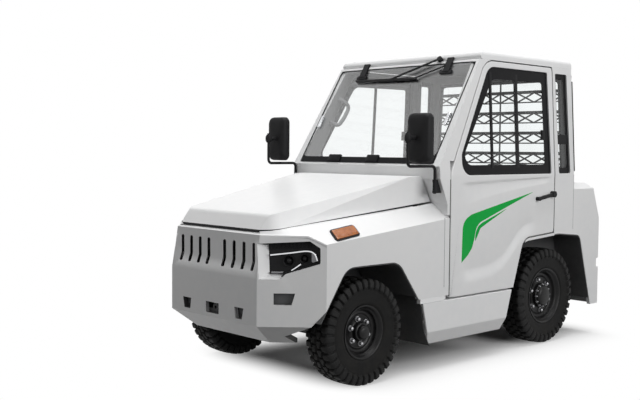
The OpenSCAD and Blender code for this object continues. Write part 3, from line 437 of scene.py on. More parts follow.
def cloth_finish(name, tone, other):
    """Woven seat cloth: the weave drives tone, roughness and bump, with a sheen on the shader."""
    material = bpy.data.materials.new(name)
    material.use_nodes = True
    tree = material.node_tree
    shader = tree.nodes["Principled BSDF"]
    weave = group(tree, WEAVE, {"Scale": 260.0})
    tones = add(tree, "ShaderNodeMix", {"Factor": weave["Value"], "A": (*other, 1), "B": (*tone, 1)},
                data_type="RGBA").outputs["Result"]
    rough = add(tree, "ShaderNodeMapRange", {"Value": weave["Value"], "To Min": 0.95,
                                             "To Max": 0.75}).outputs[0]
    bump = add(tree, "ShaderNodeBump", {"Height": weave["Height"], "Strength": 0.5, "Distance": 0.001})
    tree.links.new(tones, shader.inputs["Base Color"])
    tree.links.new(rough, shader.inputs["Roughness"])
    tree.links.new(bump.outputs[0], shader.inputs["Normal"])
    shader.inputs["Sheen Weight"].default_value = 0.3
    return material


WHITE_PAINT = finish_of("white_paint", (0.80, 0.80, 0.80), (0.77, 0.775, 0.78), 0.40, 0.03, 2.0,
                        Coat_Weight=0.12, Coat_Roughness=0.25)
GREEN_PAINT = finish_of("green_stripe", (0.0, 0.40, 0.055), (0.0, 0.37, 0.048), 0.4, 0.04, 4.0,
                        Specular_IOR_Level=0.12)
CHASSIS_PAINT = finish_of("chassis_paint", (0.018, 0.018, 0.020), (0.028, 0.028, 0.030), 0.5, 0.1, 5.0, 0.1,
                          500.0, dust=0.3, dust_top=0.9, Specular_IOR_Level=0.3)
BLACK_TRIM = finish_of("black_trim", (0.010, 0.010, 0.011), (0.016, 0.016, 0.017), 0.55, 0.08, 6.0, 0.12,
                       700.0, Specular_IOR_Level=0.12)
BLACK_GLOSS = finish_of("black_border", (0.006, 0.006, 0.007), (0.010, 0.010, 0.011), 0.35, 0.05, 4.0,
                        Specular_IOR_Level=0.08)
LINER_PLASTIC = finish_of("liner_plastic", (0.060, 0.061, 0.063), (0.08, 0.081, 0.083), 0.6, 0.08, 5.0,
                          0.25, 450.0, dust=0.2, dust_top=1.0, Specular_IOR_Level=0.25)
CAB_PLASTIC = finish_of("cab_plastic", (0.04, 0.041, 0.043), (0.055, 0.056, 0.058), 0.6, 0.08, 4.0, 0.25,
                        500.0)
GREY_PLASTIC = finish_of("grey_plastic", (0.32, 0.32, 0.33), (0.27, 0.27, 0.28), 0.5, 0.08, 6.0, 0.2, 500.0)
HEADLINER = finish_of("headliner", (0.34, 0.34, 0.345), (0.30, 0.30, 0.305), 0.85, 0.06, 6.0, 0.3, 250.0)
# Tyre rubber, with a lighter tone for a band all round each shoulder
RUBBER = finish_of("tyre_rubber", (0.004, 0.004, 0.004), (0.007, 0.007, 0.007), 0.65, 0.1, 7.0, 0.2, 350.0,
                   dust=0.05, dust_top=0.8, lighter_shoulder=(0.020, 0.020, 0.020), Specular_IOR_Level=0.12)
RIM_PAINT = finish_of("rim_paint", (0.005, 0.005, 0.0055), (0.008, 0.008, 0.0085), 0.36, 0.08, 6.0, 0.06,
                      600.0, dust=0.06, Specular_IOR_Level=0.2)
BOLT_STEEL = finish_of("bolt_steel", (0.34, 0.34, 0.35), (0.24, 0.24, 0.25), 0.5, 0.1, 30.0, 0.1, 900.0,
                       Metallic=1.0)
CHROME = finish_of("chrome", (0.75, 0.76, 0.78), (0.68, 0.69, 0.71), 0.1, 0.05, 9.0, Metallic=1.0)
MIRROR_GLASS = finish_of("mirror_glass", (0.80, 0.82, 0.83), (0.76, 0.78, 0.79), 0.05, 0.03, 3.0,
                         Metallic=1.0)
LAMP_BLACK = finish_of("lamp_black", (0.010, 0.010, 0.011), (0.018, 0.018, 0.019), 0.4, 0.1, 20.0, 0.1, 600.0,
                       Specular_IOR_Level=0.12)
LAMP_GREY = finish_of("lamp_grey", (0.22, 0.22, 0.23), (0.15, 0.15, 0.16), 0.25, 0.1, 25.0, 0.1, 300.0,
                      Metallic=0.6)
AMBER_LENS = finish_of("amber_lens", (0.50, 0.15, 0.008), (0.30, 0.075, 0.005), 0.2, 0.06, 30.0, 0.3, 160.0,
                       Coat_Weight=0.6)
RED_LENS = finish_of("red_lens", (0.42, 0.012, 0.012), (0.3, 0.008, 0.008), 0.2, 0.06, 30.0, 0.3, 160.0,
                     Coat_Weight=0.6)
BATTERY_CASE = finish_of("battery_case", (0.06, 0.062, 0.066), (0.075, 0.077, 0.08), 0.55, 0.08, 4.0, 0.15,
                         500.0)
CLEAR_GLASS = glass_finish("clear_glass", (0.975, 0.985, 0.985), 0.8)
SCREEN_GLASS = glass_finish("screen_glass", (0.98, 0.985, 0.985), 0.8, 0.11)
SEAT_CLOTH = cloth_finish("seat_cloth", (0.03, 0.03, 0.033), (0.012, 0.012, 0.013))

CAD_FINISH = {
    "chassis_frame": CHASSIS_PAINT, "front_axle": CHASSIS_PAINT, "rear_axle": CHASSIS_PAINT,
    "left_knuckle": CHASSIS_PAINT, "right_knuckle": CHASSIS_PAINT, "tie_rod": CHASSIS_PAINT,
    "tow_hitch": CHASSIS_PAINT, "battery_pack": BATTERY_CASE, "windscreen": SCREEN_GLASS,
    "cab_rear_windows": CLEAR_GLASS, "left_door_glass": CLEAR_GLASS, "right_door_glass": CLEAR_GLASS,
    "cab_floor": CAB_PLASTIC, "steering_wheel": BLACK_TRIM,
    "wheel_liners": LINER_PLASTIC}


def paint_frame_nodes():
    """The frame's own nodes that stay in view get their finish on their material slots."""
    for node, finish in CAD_FINISH.items():
        NODES[node].material_slots[0].material = finish


# Body panels

# White panels on the chassis: radius of their rounded edges
PANELS = {"front_fascia": 0.006, "left_fender": 0.006, "right_fender": 0.006, "side_sills": 0.006,
          "cab_front": 0.008, "roof": 0.024, "quarter_panels": 0.005, "cab_rear_wall": 0.005,
          "rear_body": 0.012}
CAB_MIDDLE = np.array([-0.45, 0, 1.55])
# Smaller nodes with rounded edges: finish, slot and radius
SMALL_NODES = {
    "wiper": (BLACK_TRIM, "guard_black", 0.003), "dashboard": (CAB_PLASTIC, "cab_plastic", 0.012),
    "seat_base": (CAB_PLASTIC, "cab_plastic", 0.012), "marker_lamps": (AMBER_LENS, "amber_lens", 0.004),
    "tail_lamps": (RED_LENS, "red_lens", 0.006)}
# Panels with another finish inside: the point their inner faces look at and that finish; the nose also has
# the height below which its side walls get it
LINED = {node: (CAB_MIDDLE, HEADLINER) for node in ("cab_front", "roof", "quarter_panels", "cab_rear_wall")}
LINED["front_fascia"] = (np.array([1.40, 0, 0.70]), LINER_PLASTIC, 0.40)


def lined(made, middle, finish, low_cut=0.0):
    """The faces of a piece whose normals point to a middle inside it get a finish of their own, and so do its
    faces below a height that stand square to the side."""
    count = len(made.data.polygons)
    normals, middles = np.empty(count * 3), np.empty(count * 3)
    made.data.polygons.foreach_get("normal", normals)
    made.data.polygons.foreach_get("center", middles)
    inwards = middle - middles.reshape(-1, 3)
    inwards /= np.linalg.norm(inwards, axis=1, keepdims=True)
    made.data.materials.append(finish)
    normals, middles = normals.reshape(-1, 3), middles.reshape(-1, 3)
    inside = np.sum(inwards * normals, 1) > 0.45
    inside |= (np.abs(normals[:, 1]) > 0.9) & (middles[:, 2] < low_cut)
    made.data.polygons.foreach_set("material_index", inside.astype(np.int32))


# The nose: heights of its fold, bend and top, and the x where its lean has faded out
FOLD_Z, BEND_Z, NOSE_TOP, NOSE_REAR = 0.70, 0.80, 0.966, 1.45
# Half the width of its flat front, and half the width between the corner facets' folds
FLAT_HALF, FOLD_Y = 0.38, 0.443
# How far the front moves back by the bend, over the whole height and beside the folds, and the folds in
BACK_BY_BEND, BACK_OVER_ALL, BACK_BESIDE, FOLDS_IN = 0.036, -0.020, 0.016, 0.038
# The slots: places to either side of the middle, height of their middle and half their height
SLOT_YS = np.array([0.082, 0.177, 0.2735, 0.370])
SLOT_Z, SLOT_HALF = 0.8305, 0.0745
# A slot's points lie within these distances of its middle and this far behind the nose's tip
SLOT_NEAR_Y, SLOT_NEAR_Z, SLOT_DEEP = 0.0135, SLOT_HALF + 0.01, 0.08
# The slope of the frame's front, and the depth of the narrower lip at a slot's mouth
FRONT_SLOPE, SLOT_LIP = 0.0752, 0.014
MOUTH_WIDER, BEHIND_WIDER, BEHIND_TALLER = 1.35, 3.3, 1.2


def nose_lean(points):
    """The nose's front above its fold: it leans back more steeply up to a bend and stands upright above it,
    and the two folds beside it draw together. It fades out along the corner facets."""
    x, y, z = points[..., 0], points[..., 1], points[..., 2]
    fade = ramp(x, NOSE_REAR, NOSE_X - NOSE_REAR)
    whole = ramp(z, FOLD_Z, NOSE_TOP - FOLD_Z)
    lower = ramp(z, FOLD_Z, BEND_Z - FOLD_Z)
    side = ramp(np.abs(y), FLAT_HALF, FOLD_Y - FLAT_HALF)
    back = ((BACK_BY_BEND * lower + BACK_OVER_ALL * whole) * (1 - side) + BACK_BESIDE * whole * side) * fade
    return points - np.stack([back, FOLDS_IN * whole * side * fade * np.sign(y), 0 * z], -1)


def nose_warp(points):
    """The leaning front, with its slots a third wider and their walls undercut, so that they look dark."""
    x, y, z = points.T
    near = SLOT_YS[np.argmin(np.abs(np.abs(y)[:, None] - SLOT_YS), 1)] * np.sign(y)
    at_slot = (np.abs(y - near) < SLOT_NEAR_Y) & (np.abs(z - SLOT_Z) < SLOT_NEAR_Z) & (x > NOSE_X - SLOT_DEEP)
    behind = x < NOSE_X - FRONT_SLOPE * (z - FOLD_Z) - SLOT_LIP
    grow = np.where(behind, BEHIND_WIDER, MOUTH_WIDER)
    moved = np.stack([x, np.where(at_slot, near + (y - near) * grow, y),
                      np.where(at_slot & behind, SLOT_Z + (z - SLOT_Z) * BEHIND_TALLER, z)], -1)
    return nose_lean(moved)


HOOD_FRONT, HOOD_LOW = high("hood")[0], low("hood")[2]
HOOD_EDGE_SLOPE = 0.0945
# The hood's slopes: their height, how far its front and its sides come in, and how far its front edge falls
SLOPE_HEIGHT, FRONT_IN, SIDES_IN, EDGE_FALL = 0.085, 0.040, 0.044, 0.010


def hood_edge(x):
    """Height of the lower edge of the frame's hood."""
    return HOOD_LOW + (HOOD_FRONT - x) * HOOD_EDGE_SLOPE


def hood_fall(x):
    """How far the hood's lower edge falls below the frame's towards the front."""
    return EDGE_FALL * ramp(x, 1.30, 0.25)


def hood_warp(points):
    """The hood's front and sides slope in as they rise, and the slope of the sides fades to the rear."""
    x, y, z = points.T
    rise = ramp(z, hood_edge(x), SLOPE_HEIGHT)
    front = FRONT_IN * rise * ramp(x, 1.40, 0.27)
    side = SIDES_IN * rise * ramp(np.abs(y), 0.30, 0.15) * ramp(x, 0.45, 0.9)
    return np.stack([x - front, y - side * np.sign(y), z - hood_fall(x) * (1 - rise)], -1)


def body_panels():
    """The white panels, the hood, the headlights and the smaller nodes, all with their edges rounded."""
    for node, radius in PANELS.items():
        warp, cuts = (nose_warp, (BEND_Z,)) if node == "front_fascia" else (None, ())
        made = softened(node, "chassis", WHITE_PAINT, radius, 2, cuts, warp)
        if node in LINED:
            lined(made, *LINED[node])
    softened("hood", "hood", WHITE_PAINT, 0.022, 4, warp=hood_warp)
    softened("headlights", "chassis", LAMP_BLACK, 0.003, warp=nose_warp)
    for node, (finish, slot, radius) in SMALL_NODES.items():
        softened(node, "chassis", finish, radius)


# Doors

DOOR_FRONT, DOOR_REAR = high("left_door")[0], low("left_door")[0]
DOOR_LOW, DOOR_TOP = low("left_door")[2], high("left_door")[2]
DOOR_THICK = 0.045
DOOR_PROUD = 0.0008
# Radii of the door's edges: the outer and the inner one, each also beside the hinge, and the window's
SKIN_R, SKIN_R_HINGE = 0.005, 0.0173
INNER_R, INNER_R_HINGE = 0.003, 0.016
WINDOW_R = 0.004
HINGE_X, HINGE_TOP = DOOR_FRONT - 0.016, 1.36
REAR_AXLE_X, FRONT_AXLE_X = JOINT_AT["rear_left_spin"][0], JOINT_AT["front_left_spin"][0]
PILLAR_FOOT, PILLAR_SLOPE = 1.33, 0.532
GLASS_IN = 0.014

# The door's and its window's corners as (x, z), with the radius of each
DOOR_CORNERS = np.array([
    [DOOR_FRONT + 0.001, DOOR_LOW], [DOOR_FRONT + 0.001, 1.326],
    [DOOR_FRONT - (DOOR_TOP - PILLAR_FOOT) * PILLAR_SLOPE, DOOR_TOP], [DOOR_REAR, DOOR_TOP],
    [DOOR_REAR, 0.8615], [REAR_AXLE_X + 0.362, 0.838], [REAR_AXLE_X + 0.4856, DOOR_LOW]])
DOOR_RADII = [0.004, 0.10, 0.15, 0.025, 0.02, 0.11, 0.004]
WINDOW_TOP = high("left_door_glass")[2]
WINDOW_FRONT = high("left_door_glass")[0]
WINDOW_CORNERS = np.array([
    [WINDOW_FRONT, BELT_Z], [WINDOW_FRONT, BELT_Z + 0.145],
    [WINDOW_FRONT - (WINDOW_TOP - BELT_Z - 0.145) * PILLAR_SLOPE, WINDOW_TOP],
    [DOOR_REAR + 0.064, WINDOW_TOP], [DOOR_REAR + 0.040, BELT_Z]])
WINDOW_RADII = [0.095, 0.04, 0.11, 0.012, 0.012]
# How far the clear glass starts inside each corner of the window, and its own radii
BORDER_IN = np.array([[-0.050, 0.070], [-0.050, 0.010], [-0.050, -0.085], [0.066, -0.080], [0.074, 0.070]])
CLEAR_RADII = [0.07, 0.04, 0.09, 0.02, 0.02]
# Bars on the door's glass: x, half width, foot, top, out of the glass, half thickness
LATCH_BLOCK = (-0.828, 0.017, 1.565, 1.640, 0.0, 0.009)
SASHES = {
    "left": [(-0.187, 0.013, 1.36, 2.04, 0.0, 0.006), (-0.500, 0.018, 1.36, 2.04, -0.004, 0.007),
             LATCH_BLOCK],
    "right": [(-0.455, 0.013, 1.36, 2.04, 0.0, 0.006), LATCH_BLOCK]}

# Lines pressed into the door's skin, as (x, z): the crest below the belt and the step above the wheel
CREST = np.array([[-0.845, 1.241], [-0.665, 1.221], [-0.426, 1.199], [-0.173, 1.164], [-0.027, 1.138],
                  [0.15, 1.10]])
STEP = np.array([[-0.674, 0.953], [-0.567, 0.927], [-0.488, 0.876], [-0.412, 0.804], [-0.311, 0.726],
                 [-0.187, 0.682], [-0.040, 0.664], [0.056, 0.660], [0.138, 0.656]])
GROOVE_DEEP, DISH_DEEP = 0.010, 0.015
# The groove under the belt: its height at x = 0, its slope, and the height of the step out of it
GROOVE_Z, GROOVE_SLOPE, GROOVE_STEP = 1.249, -0.0313, 0.012


def side_y(z):
    """The side's own plane: upright to the belt line, then leaning in."""
    return HALF_W - np.maximum(0, z - BELT_Z) * SIDE_LEAN


def door_lift(x, z):
    """Depth of the pressed lines at a place on the door. From the crest the skin falls in steadily up to the
    groove under the belt and comes out again in a short step; below the crest it falls in down to the step
    above the wheel and comes out there. Both fade out before the door's edges."""
    crest = np.interp(x, CREST[:, 0], CREST[:, 1])
    step = np.interp(x, STEP[:, 0], STEP[:, 1])
    belt = GROOVE_Z + GROOVE_SLOPE * x
    rise = np.where(z < belt, ramp(z, crest, belt - crest), 1 - ramp(z, belt, GROOVE_STEP))
    fall = np.where(z > step, np.clip((crest - z) / (crest - step), 0, 1) ** 2.2,
                    eased(1 - (step - z) / 0.10))
    ahead = eased((0.20 - x) / 0.14)
    groove_fade, dish_fade = ahead * eased((x + 0.94) / 0.16), ahead * eased((x + 0.76) / 0.16)
    return -GROOVE_DEEP * rise * groove_fade - DISH_DEEP * fall * dish_fade


def matched(outline, corners, counts):
    """A closed outline cut at its points nearest to corners, each run resampled to its count of points."""
    line = resampled(outline, 3000, closed=True)
    at = [int(np.argmin(np.linalg.norm(line - corner, axis=1))) for corner in corners]
    runs = []
    for first, last, count in zip(at, at[1:] + at[:1], counts):
        index = np.arange(first, last + 1 + (len(line) if last <= first else 0)) % len(line)
        runs.append(resampled(line[index], count + 1)[:-1])
    return np.concatenate(runs)


def left_of(line):
    """Unit vectors to the left of a closed line of points in a plane."""
    along = np.roll(line, -1, 0) - np.roll(line, 1, 0)
    along /= np.linalg.norm(along, axis=1, keepdims=True)
    return np.stack([-along[:, 1], along[:, 0]], -1)


def spread(values, reach):
    """A closed row of values blurred over its neighbours."""
    kernel = np.ones(2 * reach + 1) / (2 * reach + 1)
    return np.convolve(np.concatenate([values[-reach:], values, values[:reach]]), kernel, "valid")


def door_shape():
    """The left door as one closed ring of rows: the rounded outer edge, the pressed skin from edge to window,
    the rounded reveal, the inner face back to the edge and the inner edge. Each row is an outline; its depth
    lies behind the side's plane."""
    counts = [60, 60, 50, 50, 44, 34, 60]
    edge = matched(rounded(DOOR_CORNERS, DOOR_RADII), DOOR_CORNERS, counts)
    mates = np.concatenate([WINDOW_CORNERS, [[-0.55, BELT_Z], [-0.40, BELT_Z]]])
    window = matched(rounded(WINDOW_CORNERS, WINDOW_RADII), mates, counts)
    to_skin, from_window = left_of(edge), -left_of(window)
    hinge = spread(((edge[:, 0] > HINGE_X) & (edge[:, 1] < HINGE_TOP)).astype(float), 3)[:, None]
    outer_r = SKIN_R + (SKIN_R_HINGE - SKIN_R) * hinge
    inner_r = INNER_R + (INNER_R_HINGE - INNER_R) * hinge
    quarter = np.linspace(0, np.pi / 2, 6)
    lines, depths, lifts = [], [], []

    def row(line, depth, lift):
        """Adds an outline with its depth and its share of the pressed lines."""
        lines.append(line)
        depths.append(np.broadcast_to(depth, (len(edge), 1)))
        lifts.append(lift)

    for a in quarter:
        row(edge + to_skin * outer_r * (1 - np.cos(a)), outer_r * (1 - np.sin(a)), 1)
    for t in np.linspace(0, 1, 104)[1:-1]:
        row((edge + to_skin * outer_r) * (1 - t) + (window + from_window * WINDOW_R) * t, 0.0, 1)
    for a in quarter[::-1]:
        row(window + from_window * WINDOW_R * (1 - np.cos(a)), WINDOW_R * (1 - np.sin(a)), 1)
    for depth in (0.02, DOOR_THICK):
        row(window, depth, 0)
    for t in np.linspace(0, 1, 14)[1:]:
        row(window * (1 - t) + (edge + to_skin * inner_r) * t, DOOR_THICK, 0)
    for a in quarter[::-1][1:]:
        row(edge + to_skin * inner_r * (1 - np.cos(a)), DOOR_THICK - inner_r * (1 - np.sin(a)), 0)
    lines, depths, lifts = np.stack(lines), np.stack(depths)[..., 0], np.array(lifts)[:, None]
    x, z = lines[..., 0], lines[..., 1]
    y = side_y(z) + DOOR_PROUD + lifts * door_lift(x, z) - depths
    return patch(np.stack([x, y, z], -1), wrap_rows=True, wrap_columns=True)


def slab(top, under):
    """A closed sheet from two grids of one shape: across the top, back underneath, capped at both ends."""
    return patch(np.concatenate([top, under[:, ::-1]], 1), wrap_columns=True, caps=True)


def band(outer, inner, place, thick):
    """A flat closed ring between two outlines of equal count: place carries (u, v, out) to the object."""
    rows = [(outer, thick), (inner, thick), (inner, 0.0), (outer, 0.0)]
    points = np.stack([place(line[:, 0], line[:, 1], np.full(len(line), out)) for line, out in rows])
    return patch(points, wrap_rows=True, wrap_columns=True)


def on_side(x, z, out):
    """A place on the left side: out of the plane of the window glass."""
    return np.stack([x, side_y(z) - GLASS_IN + out, z], -1)


# The green stripe and the sliver under it, as (x, z): the outer and the inner edge of each
STRIPE_OUT = np.array([[0.168, 0.710], [0.166, 0.80], [0.162, 0.949], [0.151, 0.981], [0.123, 1.012],
                       [0.065, 1.039], [-0.30, 1.107], [-0.667, 1.175]])
STRIPE_IN = np.array([[0.166, 0.711], [0.093, 0.755], [0.047, 0.803], [0.025, 0.868], [0.017, 0.912],
                      [0.004, 0.948], [-0.032, 0.979], [-0.314, 1.067], [-0.667, 1.1735]])
SLIVER_OUT = np.array([[-0.339, 1.062], [-0.056, 0.975], [-0.014, 0.954], [0.009, 0.919], [0.018, 0.875],
                       [0.013, 0.851]])
SLIVER_IN = np.array([[-0.339, 1.0605], [-0.039, 0.938], [-0.019, 0.902], [0.0125, 0.851]])


def smoothed(line, count):
    """A line of points resampled evenly and eased round its corners."""
    line = resampled(line, count)
    for _ in range(6):
        line[1:-1] = (line[:-2] + 2 * line[1:-1] + line[2:]) / 4
    return line


def ribbon(first, second, rows=200, columns=10):
    """A painted strip ruled between two lines on the door's skin, a hair proud of it."""
    a, b = smoothed(first, rows), smoothed(second, rows)
    k = np.linspace(0, 1, columns)[None, :, None]
    flat = a[:, None] * (1 - k) + b[:, None] * k
    x, z = flat[..., 0], flat[..., 1]
    skin = side_y(z) + DOOR_PROUD + door_lift(x, z)
    return slab(np.stack([x, skin + 0.0007, z], -1), np.stack([x, skin - 0.0006, z], -1))


def upright(x, half, low_z, high_z, out, thick):
    """A flat bar that stands on the side glass from one height to another."""
    z = np.linspace(low_z, high_z, 12)
    path = np.stack([np.full(12, x), side_y(z) - GLASS_IN + out, z], -1)
    return sweep(block_profile(half, thick, thick * 0.6), path, (0, 1, 0))


def doors():
    """Both doors: skin, stripe, window border, bars of the sliding panes, latch block and handle."""
    shape = door_shape()
    stripe = joined(ribbon(STRIPE_OUT, STRIPE_IN), ribbon(SLIVER_OUT, SLIVER_IN, 80, 6))
    counts = [40, 40, 60, 60, 90]
    clear = WINDOW_CORNERS + BORDER_IN
    border = band(matched(rounded(WINDOW_CORNERS, WINDOW_RADII), WINDOW_CORNERS, counts),
                  matched(rounded(clear, CLEAR_RADII), clear, counts), on_side, 0.002)
    for side, bars in SASHES.items():
        flip = mirrored if side == "right" else (lambda shape: shape)
        body = f"{side}_door"
        skin = piece(f"{side}_door_skin", flip(shape), body, WHITE_PAINT, [body], smooth=40)
        lined(skin, CAB_MIDDLE, HEADLINER)
        piece(f"{side}_door_stripe", flip(stripe), body, GREEN_PAINT)
        piece(f"{side}_window_border", flip(border), body, BLACK_GLOSS)
        sashes = joined(*[upright(*sizes) for sizes in bars])
        piece(f"{side}_window_sashes", flip(sashes), body, BLACK_TRIM)
        softened(f"{side}_door_handle", body, BLACK_TRIM, 0.005, 3)


# Windows and seals

# The windscreen's plane, measured from a foot that lies a little below the glass
SCREEN_RAKE = math.radians(32)
FOOT_BELOW = 0.014
SCREEN_FOOT = np.array([high("windscreen")[0] + FOOT_BELOW * math.tan(SCREEN_RAKE), 0,
                        low("windscreen")[2] - FOOT_BELOW])
SCREEN_UP = np.array([-math.sin(SCREEN_RAKE), 0, math.cos(SCREEN_RAKE)])
SCREEN_OUT = np.array([math.cos(SCREEN_RAKE), 0, math.sin(SCREEN_RAKE)])
SCREEN_HALF = high("windscreen")[1]
SCREEN_LOW = FOOT_BELOW / math.cos(SCREEN_RAKE)
SCREEN_TOP = SCREEN_LOW + (high("windscreen")[2] - low("windscreen")[2]) / math.cos(SCREEN_RAKE)
CAB_REAR = low("cab_rear_wall")[0]


def on_screen(y, up, out):
    """A place on the windscreen: across, up the glass and out of it."""
    y, up, out = np.broadcast_arrays(y, up, out)
    flat = SCREEN_FOOT + up[..., None] * SCREEN_UP + out[..., None] * SCREEN_OUT
    return flat + np.stack([np.zeros_like(y), y, np.zeros_like(y)], -1)


def on_rear(y, z, out):
    """A place on the cab's rear window, out of it to the rear."""
    y, z, out = np.broadcast_arrays(y, z, out)
    return np.stack([CAB_REAR + GLASS_IN - out, y, z], -1)


def frame_band(corners, radii, inner, inner_radii, place, thick):
    """A ring between two rounded outlines whose corners go round in the same order."""
    counts = [40] * len(corners)
    return band(matched(rounded(corners, radii, 10), corners, counts),
                matched(rounded(inner, inner_radii, 10), inner, counts), place, thick)


def box_on(place, u, v, out, radius):
    """A block on a surface: a rounded outline in (u, v), raised from the first out to the second."""
    outline = rounded([[u[0], v[0]], [u[1], v[0]], [u[1], v[1]], [u[0], v[1]]], [radius] * 4, 5)
    middle = outline.mean(0)
    shrink = [(1.0, out[0]), (1.0, out[1] - 0.3 * radius), (0.985, out[1] - 0.1 * radius), (0.95, out[1]),
              (0.3, out[1])]
    rows = [place(middle[0] + (outline[:, 0] - middle[0]) * k, middle[1] + (outline[:, 1] - middle[1]) * k,
                  np.full(len(outline), at)) for k, at in shrink]
    return patch(np.stack(rows), wrap_columns=True, caps=True)


GUARD_X = low("window_guard")[0] + 0.005
GUARD_HALF = high("window_guard")[1] - 0.004
GUARD_FOOT, GUARD_TOP = low("window_guard")[2] + 0.012, high("window_guard")[2] - 0.004
GUARD_BANDS = [(1.968, 1.880), (1.801, 1.713), (1.634, 1.546), (1.467, 1.379)]
GUARD_PITCH = GUARD_HALF / 2
# The guard's bars: half their thickness, the radius of their edges, and half the height or width of each
BAR_THICK, BAR_ROUND = 0.005, 0.002
UPPER_RAIL, LOWER_RAIL, DIAGONAL, UPRIGHT = 0.013, 0.005, 0.006, 0.006


def guard_bar(start, end, half):
    """A flat bar of the guard between two places (y, z)."""
    line = np.array([start, np.add(start, end) / 2, end])
    path = np.concatenate([np.full((3, 1), GUARD_X), line], 1)
    return sweep(block_profile(half, BAR_THICK, BAR_ROUND, 3), path, (1, 0, 0))


def guard():
    """The bars outside the rear window: four bands of diamonds, each between a deep upper rail and a thin
    lower one, and three uprights on feet."""
    columns = (-GUARD_HALF, 0.0, GUARD_HALF)
    parts = [guard_bar((y, GUARD_FOOT), (y, GUARD_TOP), UPRIGHT) for y in columns]
    for top, foot in GUARD_BANDS:
        parts.append(guard_bar((-GUARD_HALF, top - 0.005), (GUARD_HALF, top - 0.005), UPPER_RAIL))
        parts.append(guard_bar((-GUARD_HALF, foot), (GUARD_HALF, foot), LOWER_RAIL))
        peak = top - 0.010
        for y in np.arange(-2, 2) * GUARD_PITCH:
            middle, end = y + GUARD_PITCH / 2, y + GUARD_PITCH
            for here, there in ((peak, foot), (foot, peak)):
                parts.append(guard_bar((y, here), (middle, there), DIAGONAL))
                parts.append(guard_bar((middle, there), (end, here), DIAGONAL))
    foot_profile = [[0.001, 0], [0.009, 0], [0.009, 0.040], [0.001, 0.040]]
    feet = [lathe(foot_profile, (GUARD_X, y, z), (1, 0, 0), 16) for y in columns for z in (1.30, 2.068)]
    piece("guard_bars", joined(*parts, *feet), "chassis", BLACK_TRIM, ["window_guard"])


def windscreen_trim():
    """The windscreen's black border with its rubber blocks, and the latches at its sides."""
    half, foot, top = SCREEN_HALF, SCREEN_LOW, SCREEN_TOP
    screen = np.array([[-half, foot], [half, foot], [half, top], [-half, top]])
    clear = screen + [[0.007, 0.048], [-0.007, 0.048], [-0.007, -0.007], [0.007, -0.007]]
    parts = [frame_band(screen, [0.01] * 4, clear, [0.03, 0.06, 0.03, 0.03], on_screen, 0.003)]
    parts += [box_on(on_screen, y, (0.020, 0.080), (0.0, 0.012), 0.006)
              for y in ((-0.365, -0.237), (0.03, 0.147), (0.52, 0.60))]
    piece("windscreen_seal", joined(*parts), "chassis", BLACK_GLOSS)
    latches = [box_on(on_screen, y, (0.325, 0.432), (0.003, 0.016), 0.006)
               for y in ((-0.645, -0.622), (0.622, 0.645))]
    piece("screen_latches", joined(*latches), "chassis", CHROME)


def rear_windows():
    """Borders on the quarter windows and the rear window, and strips and bars at the cab's rear edges."""
    quarter = np.array([[DOOR_REAR - 0.060, BELT_Z], [DOOR_REAR - 0.040, WINDOW_TOP],
                        [CAB_REAR + 0.070, WINDOW_TOP], [CAB_REAR + 0.050, BELT_Z]])
    quarter_clear = quarter + [[-0.020, 0.045], [-0.022, -0.040], [0.030, -0.040], [0.026, 0.045]]
    border = frame_band(quarter, [0.014] * 4, quarter_clear, [0.02] * 4, on_side, 0.002)
    piece("quarter_borders", both(border), "chassis", BLACK_GLOSS)
    low_y, top_y, top_z = side_y(BELT_Z) - 0.090, side_y(WINDOW_TOP) - 0.084, WINDOW_TOP - 0.014
    rear = np.array([[-low_y, BELT_Z], [low_y, BELT_Z], [top_y, top_z], [-top_y, top_z]])
    rear_clear = rear + [[0.03, 0.03], [-0.03, 0.03], [-0.03, -0.03], [0.03, -0.03]]
    border = frame_band(rear, [0.02] * 4, rear_clear, [0.02] * 4, on_rear, 0.002)
    piece("rear_border", border, "chassis", BLACK_GLOSS)
    heights = np.linspace(1.325, 2.03, 12)
    edge = np.stack([np.full(12, CAB_REAR - 0.022), side_y(heights) - 0.030, heights], -1)
    strip = sweep(block_profile(0.026, 0.012, 0.004), edge, (0, 1, 0))
    bar = box_on(on_side, (CAB_REAR + 0.052, DOOR_REAR - 0.055), (1.535, 1.610), (-0.004, 0.004), 0.004)
    piece("rear_window_frames", both(joined(strip, bar)), "chassis", BLACK_TRIM)


def grab_handle():
    """The grab handle inside, beside the right end of the windscreen."""
    grip = smoothed([[0.115, -0.640, 1.705], [0.085, -0.615, 1.675], [0.055, -0.600, 1.672],
                     [0.0, -0.595, 1.735], [-0.05, -0.595, 1.812], [-0.045, -0.600, 1.840],
                     [-0.01, -0.615, 1.868], [0.02, -0.640, 1.885]], 40)
    piece("grab_handle", sweep(ring(0.0155), grip, (0, 1, 0.1)), "chassis", GREY_PLASTIC)


# Nose

# The left corner facet: where it starts at the fold, and the directions along it and out of it
FACET_AT = np.array([NOSE_X, FOLD_Y, 0])
FACET_ALONG, FACET_OUT = np.array([-0.7107, 0.7035, 0]), np.array([0.7035, 0.7107, 0])


def on_facet(d, z, out):
    """A place on the left corner facet: distance from the fold, height, out of the facet."""
    d, z, out = np.broadcast_arrays(d, z, out)
    flat = FACET_AT + d[..., None] * FACET_ALONG + out[..., None] * FACET_OUT
    return nose_lean(flat + np.stack([0 * z, 0 * z, z], -1))


def on_nose(y, z, out):
    """A place on the plane of the nose's front, out of it ahead."""
    y, z, out = np.broadcast_arrays(y, z, out)
    return np.stack([NOSE_X + out, y, z], -1)


